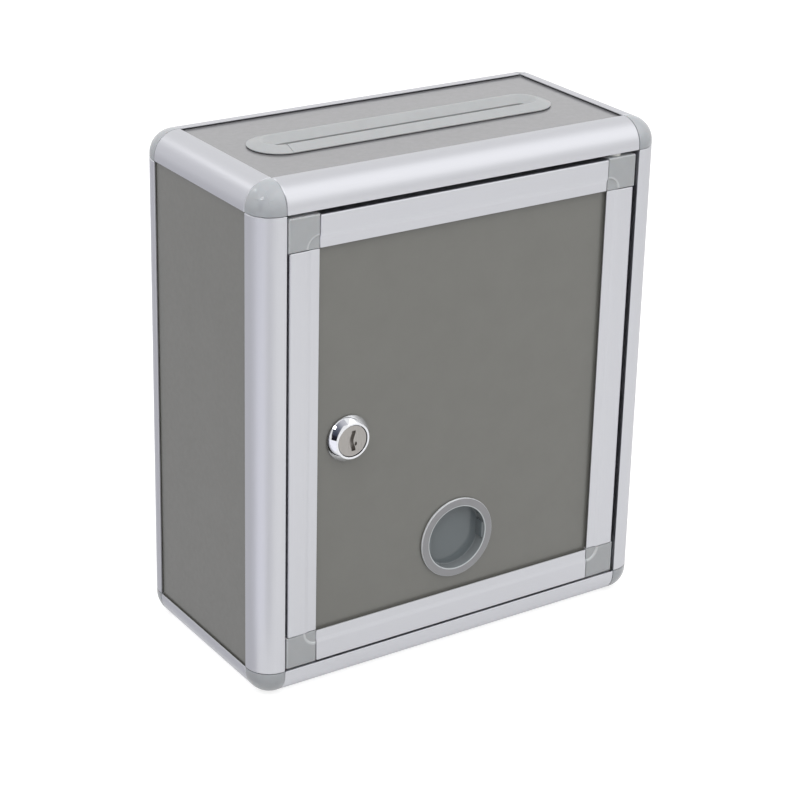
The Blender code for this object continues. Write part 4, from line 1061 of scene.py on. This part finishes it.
# %% Turn the window
WINDOW_BORE = 0.0160
WINDOW_BARREL = 0.0172
WINDOW_FLANGE = 0.0202
FLANGE_FRONT = 0.00155
FLANGE_BACK = 0.00025
PANE_FRONT = -0.0041
CUP_BACK = -0.0055
BEAD_RADIUS = 0.0178
BEAD_FRONT = -0.0033
BEAD_CREST = -0.0039
BEAD_END = -0.0045
CATCH_START = 0.0146
CATCH_END = 0.0166
CATCH_HALF = 0.00425
CATCH_BACK = -0.0048
CATCH_FRONT = FLANGE_FRONT - 0.0006


def viewing_window():
    profile = [(0, PANE_FRONT), (WINDOW_BORE, PANE_FRONT), (WINDOW_BORE, FLANGE_FRONT),
               (WINDOW_FLANGE, FLANGE_FRONT), (WINDOW_FLANGE, FLANGE_BACK), (WINDOW_BARREL, FLANGE_BACK),
               (WINDOW_BARREL, BEAD_FRONT), (BEAD_RADIUS, BEAD_FRONT), (BEAD_RADIUS, BEAD_CREST),
               (WINDOW_BARREL, BEAD_END), (WINDOW_BARREL, CUP_BACK), (0, CUP_BACK)]
    cup = turned("window", eased(profile, radius=0.0004, steps=4, closed=False), 128)
    for low_x, high_x in ((-CATCH_END, -CATCH_START), (CATCH_START, CATCH_END)):
        catch = block("catch", (low_x, -CATCH_HALF, CATCH_BACK), (high_x, CATCH_HALF, CATCH_FRONT))
        bevelled(catch, lambda a, b: True, width=0.0003, steps=2)
        cup = shaped_by(cup, catch, "UNION")
    return cup


WINDOW_Z = middle_of("viewing_window").z
window = lay(viewing_window(), (0, SHEET_FACE_Y, WINDOW_Z), X_AXIS, Z_AXIS)
stand_in(window, "viewing_window", mix_window_plastic(WINDOW_BORE, WINDOW_FLANGE))
print("Window centre at height", round(WINDOW_Z, 4))

# %% [markdown]
# ## The studio
# The box stands on a pale floor that runs on to the horizon. The floor and the surroundings look
# white to the camera, and nearly so to the metal that mirrors them, through their Light Path
# nodes, while the light that they give to the box stays plain. The floor still takes the box's
# soft shadow.

# %% Floor and surroundings
FLOOR_HALF = 6.0
FLOOR_DROP = 0.0002
FLOOR_GLOW_SEEN = 0.75
FLOOR_GLOW_MIRRORED = 0.40
WORLD_LIGHT = 0.75
WORLD_MIRRORED_SHARE = 0.85
CLOUDS_PER_METRE = 3


def added(tree, first, second):
    """The sum of two numbers, no higher than one."""
    return wired(tree, "Math", {0: first, 1: second}, operation="ADD", use_clamp=True)["Value"]


def ray_kinds(tree, seen_factor, mirrored_factor):
    """One factor where the camera looks, and another where a mirror or glass looks."""
    path = wired(tree, "LightPath", {})
    in_mirror = added(tree, path["Is Glossy Ray"], path["Is Transmission Ray"])
    in_mirror = wired(tree, "Math", {0: in_mirror, 1: mirrored_factor}, operation="MULTIPLY")["Value"]
    seen = wired(tree, "Math", {0: path["Is Camera Ray"], 1: seen_factor}, operation="MULTIPLY")["Value"]
    return added(tree, seen, in_mirror)


def mix_floor():
    """A pale floor, lifted to white where the camera, a mirror or glass sees it."""
    finish, shader, tree = new_finish("pale_floor", roughness=0.9, specular_ior_level=0.1,
                                      emission_color=(1, 1, 1, 1))
    spread(tree, grain(tree, CLOUDS_PER_METRE), (0.45, 0.45, 0.45), (0.46, 0.46, 0.46),
           shader.inputs["Base Color"])
    tree.links.new(ray_kinds(tree, FLOOR_GLOW_SEEN, FLOOR_GLOW_MIRRORED), shader.inputs["Emission Strength"])
    return finish


def studio_sheet(name, pairs, finish):
    """A sheet through pairs of corners, which belongs to the studio and not to the box."""
    corners = [corner for pair in pairs for corner in pair]
    faces = [(2 * i, 2 * i + 1, 2 * i + 3, 2 * i + 2) for i in range(len(pairs) - 1)]
    mesh = bpy.data.meshes.new(name)
    mesh.from_pydata(corners, [], faces)
    mesh.materials.append(finish)
    piece = linked(name, mesh)
    return piece


def level_pairs(low_x, low_y, high_x, high_y, height):
    """The corners of a level rectangle, in pairs."""
    return [((low_x, y, height), (high_x, y, height)) for y in (low_y, high_y)]


studio_sheet("floor", level_pairs(-FLOOR_HALF, -FLOOR_HALF, FLOOR_HALF, FLOOR_HALF, -FLOOR_DROP), mix_floor())

world = bpy.data.worlds.new("studio")
bpy.context.scene.world = world
world.use_nodes = True
sky = world.node_tree
background = sky.nodes["Background"]
background.inputs["Color"].default_value = (1, 1, 1, 1)
strength = wired(sky, "MapRange", {"Value": ray_kinds(sky, 1.0, WORLD_MIRRORED_SHARE), "To Min": WORLD_LIGHT})
sky.links.new(strength["Result"], background.inputs["Strength"])
print("Floor and surroundings are white")

# %% [markdown]
# ## Lamps
# One wide lamp hangs over the box and is the strongest, but mirrors don't show it. A weaker one
# at the front right makes the bright band on the upper rail. A small one at the left puts a soft
# spot on the ball corners, and a tiny one behind adds a spark.

# %% Hang the lamps
BOX_CENTRE = Vector((0, 0, 0.125))


def lamp(name, place, size, watts):
    """A square soft lamp turned to the box, which the camera doesn't see."""
    light = bpy.data.lights.new(name, "AREA")
    light.shape = "SQUARE"
    light.size = size
    light.energy = watts
    holder = linked(name, light)
    holder.location = place
    holder.rotation_euler = (BOX_CENTRE - Vector(place)).to_track_quat("-Z", "Y").to_euler()
    holder.visible_camera = False
    return holder


softbox = lamp("softbox", place=(-0.16, -0.45, 1.28), size=1.6, watts=13.2)
softbox.visible_glossy = False
lamp("band_lamp", place=(0.62, -0.66, 1.07), size=1.2, watts=1.9)
lamp("left_lamp", place=(-0.99, -0.17, 1.04), size=0.28, watts=1.7)
lamp("spark_lamp", place=(-0.54, 0.80, 0.95), size=0.10, watts=0.3)

# %% [markdown]
# ## Cards for the mirrors
# Metal in an all-white room would look like paper, so cards that only mirrored rays see give it
# something to show. Three lie on the floor at the left, from mid grey to white, and a grey one
# stands upright behind. A dark strip that grows lighter upwards stands where the lock's cone looks.

# %% Set the cards
CARD_LIFT = 0.0002
POST_GAP = 0.002


def mix_card(name, stops, by_height=False):
    """A card with a glow of its own, clouded by noise, or graded from its foot to its top."""
    finish, shader, tree = new_finish(name, base_color=(0, 0, 0, 1), specular_ior_level=0.0,
                                      emission_strength=1.0)
    if by_height:
        value = wired(tree, "SeparateXYZ", {"Vector": wired(tree, "TexCoord", {})["Generated"]})["Z"]
    else:
        value = grain(tree, CLOUDS_PER_METRE)
    colour_by(tree, value, stops, shader.inputs["Emission Color"])
    return finish


def even_grey(name, level, blue):
    """A card of one grey, with a little blue added, that clouds by two hundredths."""
    low = (level, level, level + blue)
    high = tuple(shade + 0.02 for shade in low)
    return mix_card(name, ((NOISE_LOW, low), (NOISE_HIGH, high)))


def mirror_card(name, pairs, finish):
    """Only mirrored rays meet the card, so it takes no light from the box."""
    card = studio_sheet(name, pairs, finish)
    card.visible_camera = False
    card.visible_diffuse = False
    card.visible_transmission = False
    card.visible_shadow = False
    return card


def fan(name, start, end, middle, half_angle, finish):
    """Wedge-shaped card on the floor, spreading from the front left post at an angle."""
    pairs = []
    for turn in (math.radians(middle - half_angle), math.radians(middle + half_angle)):
        pairs.append([(case_low.x + reach * math.sin(turn), case_low.y - reach * math.cos(turn), CARD_LIFT)
                      for reach in (start, end)])
    mirror_card(name, pairs, finish)


mirror_card("floor_card", level_pairs(-2.0, -0.05, case_low.x - POST_GAP, 2.5, CARD_LIFT),
            even_grey("grey_card", 0.60, 0.03))
fan("dim_fan", 0.05, 1.3, -30, 16, even_grey("dim_grey_card", 0.74, 0.02))
fan("bright_fan", 0.06, 1.15, -80, 30, even_grey("bright_grey_card", 1.00, 0.07))
back_card = mirror_card("back_card", level_pairs(-2.4, 0.0, -0.6, 1.3, 0.0),
                        even_grey("back_grey_card", 0.76, 0.03))
back_card.location.y = 2.2
back_card.rotation_euler.x = math.radians(90)

fade = ((0.0, (0.01, 0.01, 0.015)), (0.09, (0.02, 0.02, 0.03)), (0.11, (0.05, 0.055, 0.08)),
        (0.17, (0.07, 0.08, 0.11)), (0.32, (0.15, 0.16, 0.20)), (0.58, (0.33, 0.34, 0.38)),
        (0.95, (0.50, 0.50, 0.54)), (1.0, (0.62, 0.62, 0.66)))
strip_levels = ((-1.3, 0.0, -0.26, -0.60), (-1.3, 1.0, -0.26, -0.75), (-1.3, 4.4, -0.45, -1.60),
                (0.3, 4.6, -0.30, -1.60))
strip_pairs = [((x, back, height), (x, front, height)) for x, height, back, front in strip_levels]
mirror_card("strip_card", strip_pairs, mix_card("strip_card", fade, by_height=True))

# %% [markdown]
# ## The camera
# The camera stands a little above the box and to its left, about a metre away, with a long lens.
# Its place was found by matching the straight edges of the case to the picture.

# %% Set up the camera
CAMERA_PLACE = (-0.570813, -0.848751, 0.557266)
CAMERA_TURN = (1.201165, -0.022404, -0.582529)
camera_data = bpy.data.cameras.new("camera")
camera_data.sensor_width = 36.0
camera_data.lens = 102.968924
camera_data.shift_y = -0.125
camera_data.clip_start = 0.01
camera_data.clip_end = 50.0
camera = linked("camera", camera_data)
camera.location = CAMERA_PLACE
camera.rotation_euler = CAMERA_TURN
bpy.context.scene.camera = camera
bpy.context.scene.view_settings.view_transform = "Standard"
print("Camera at", CAMERA_PLACE)
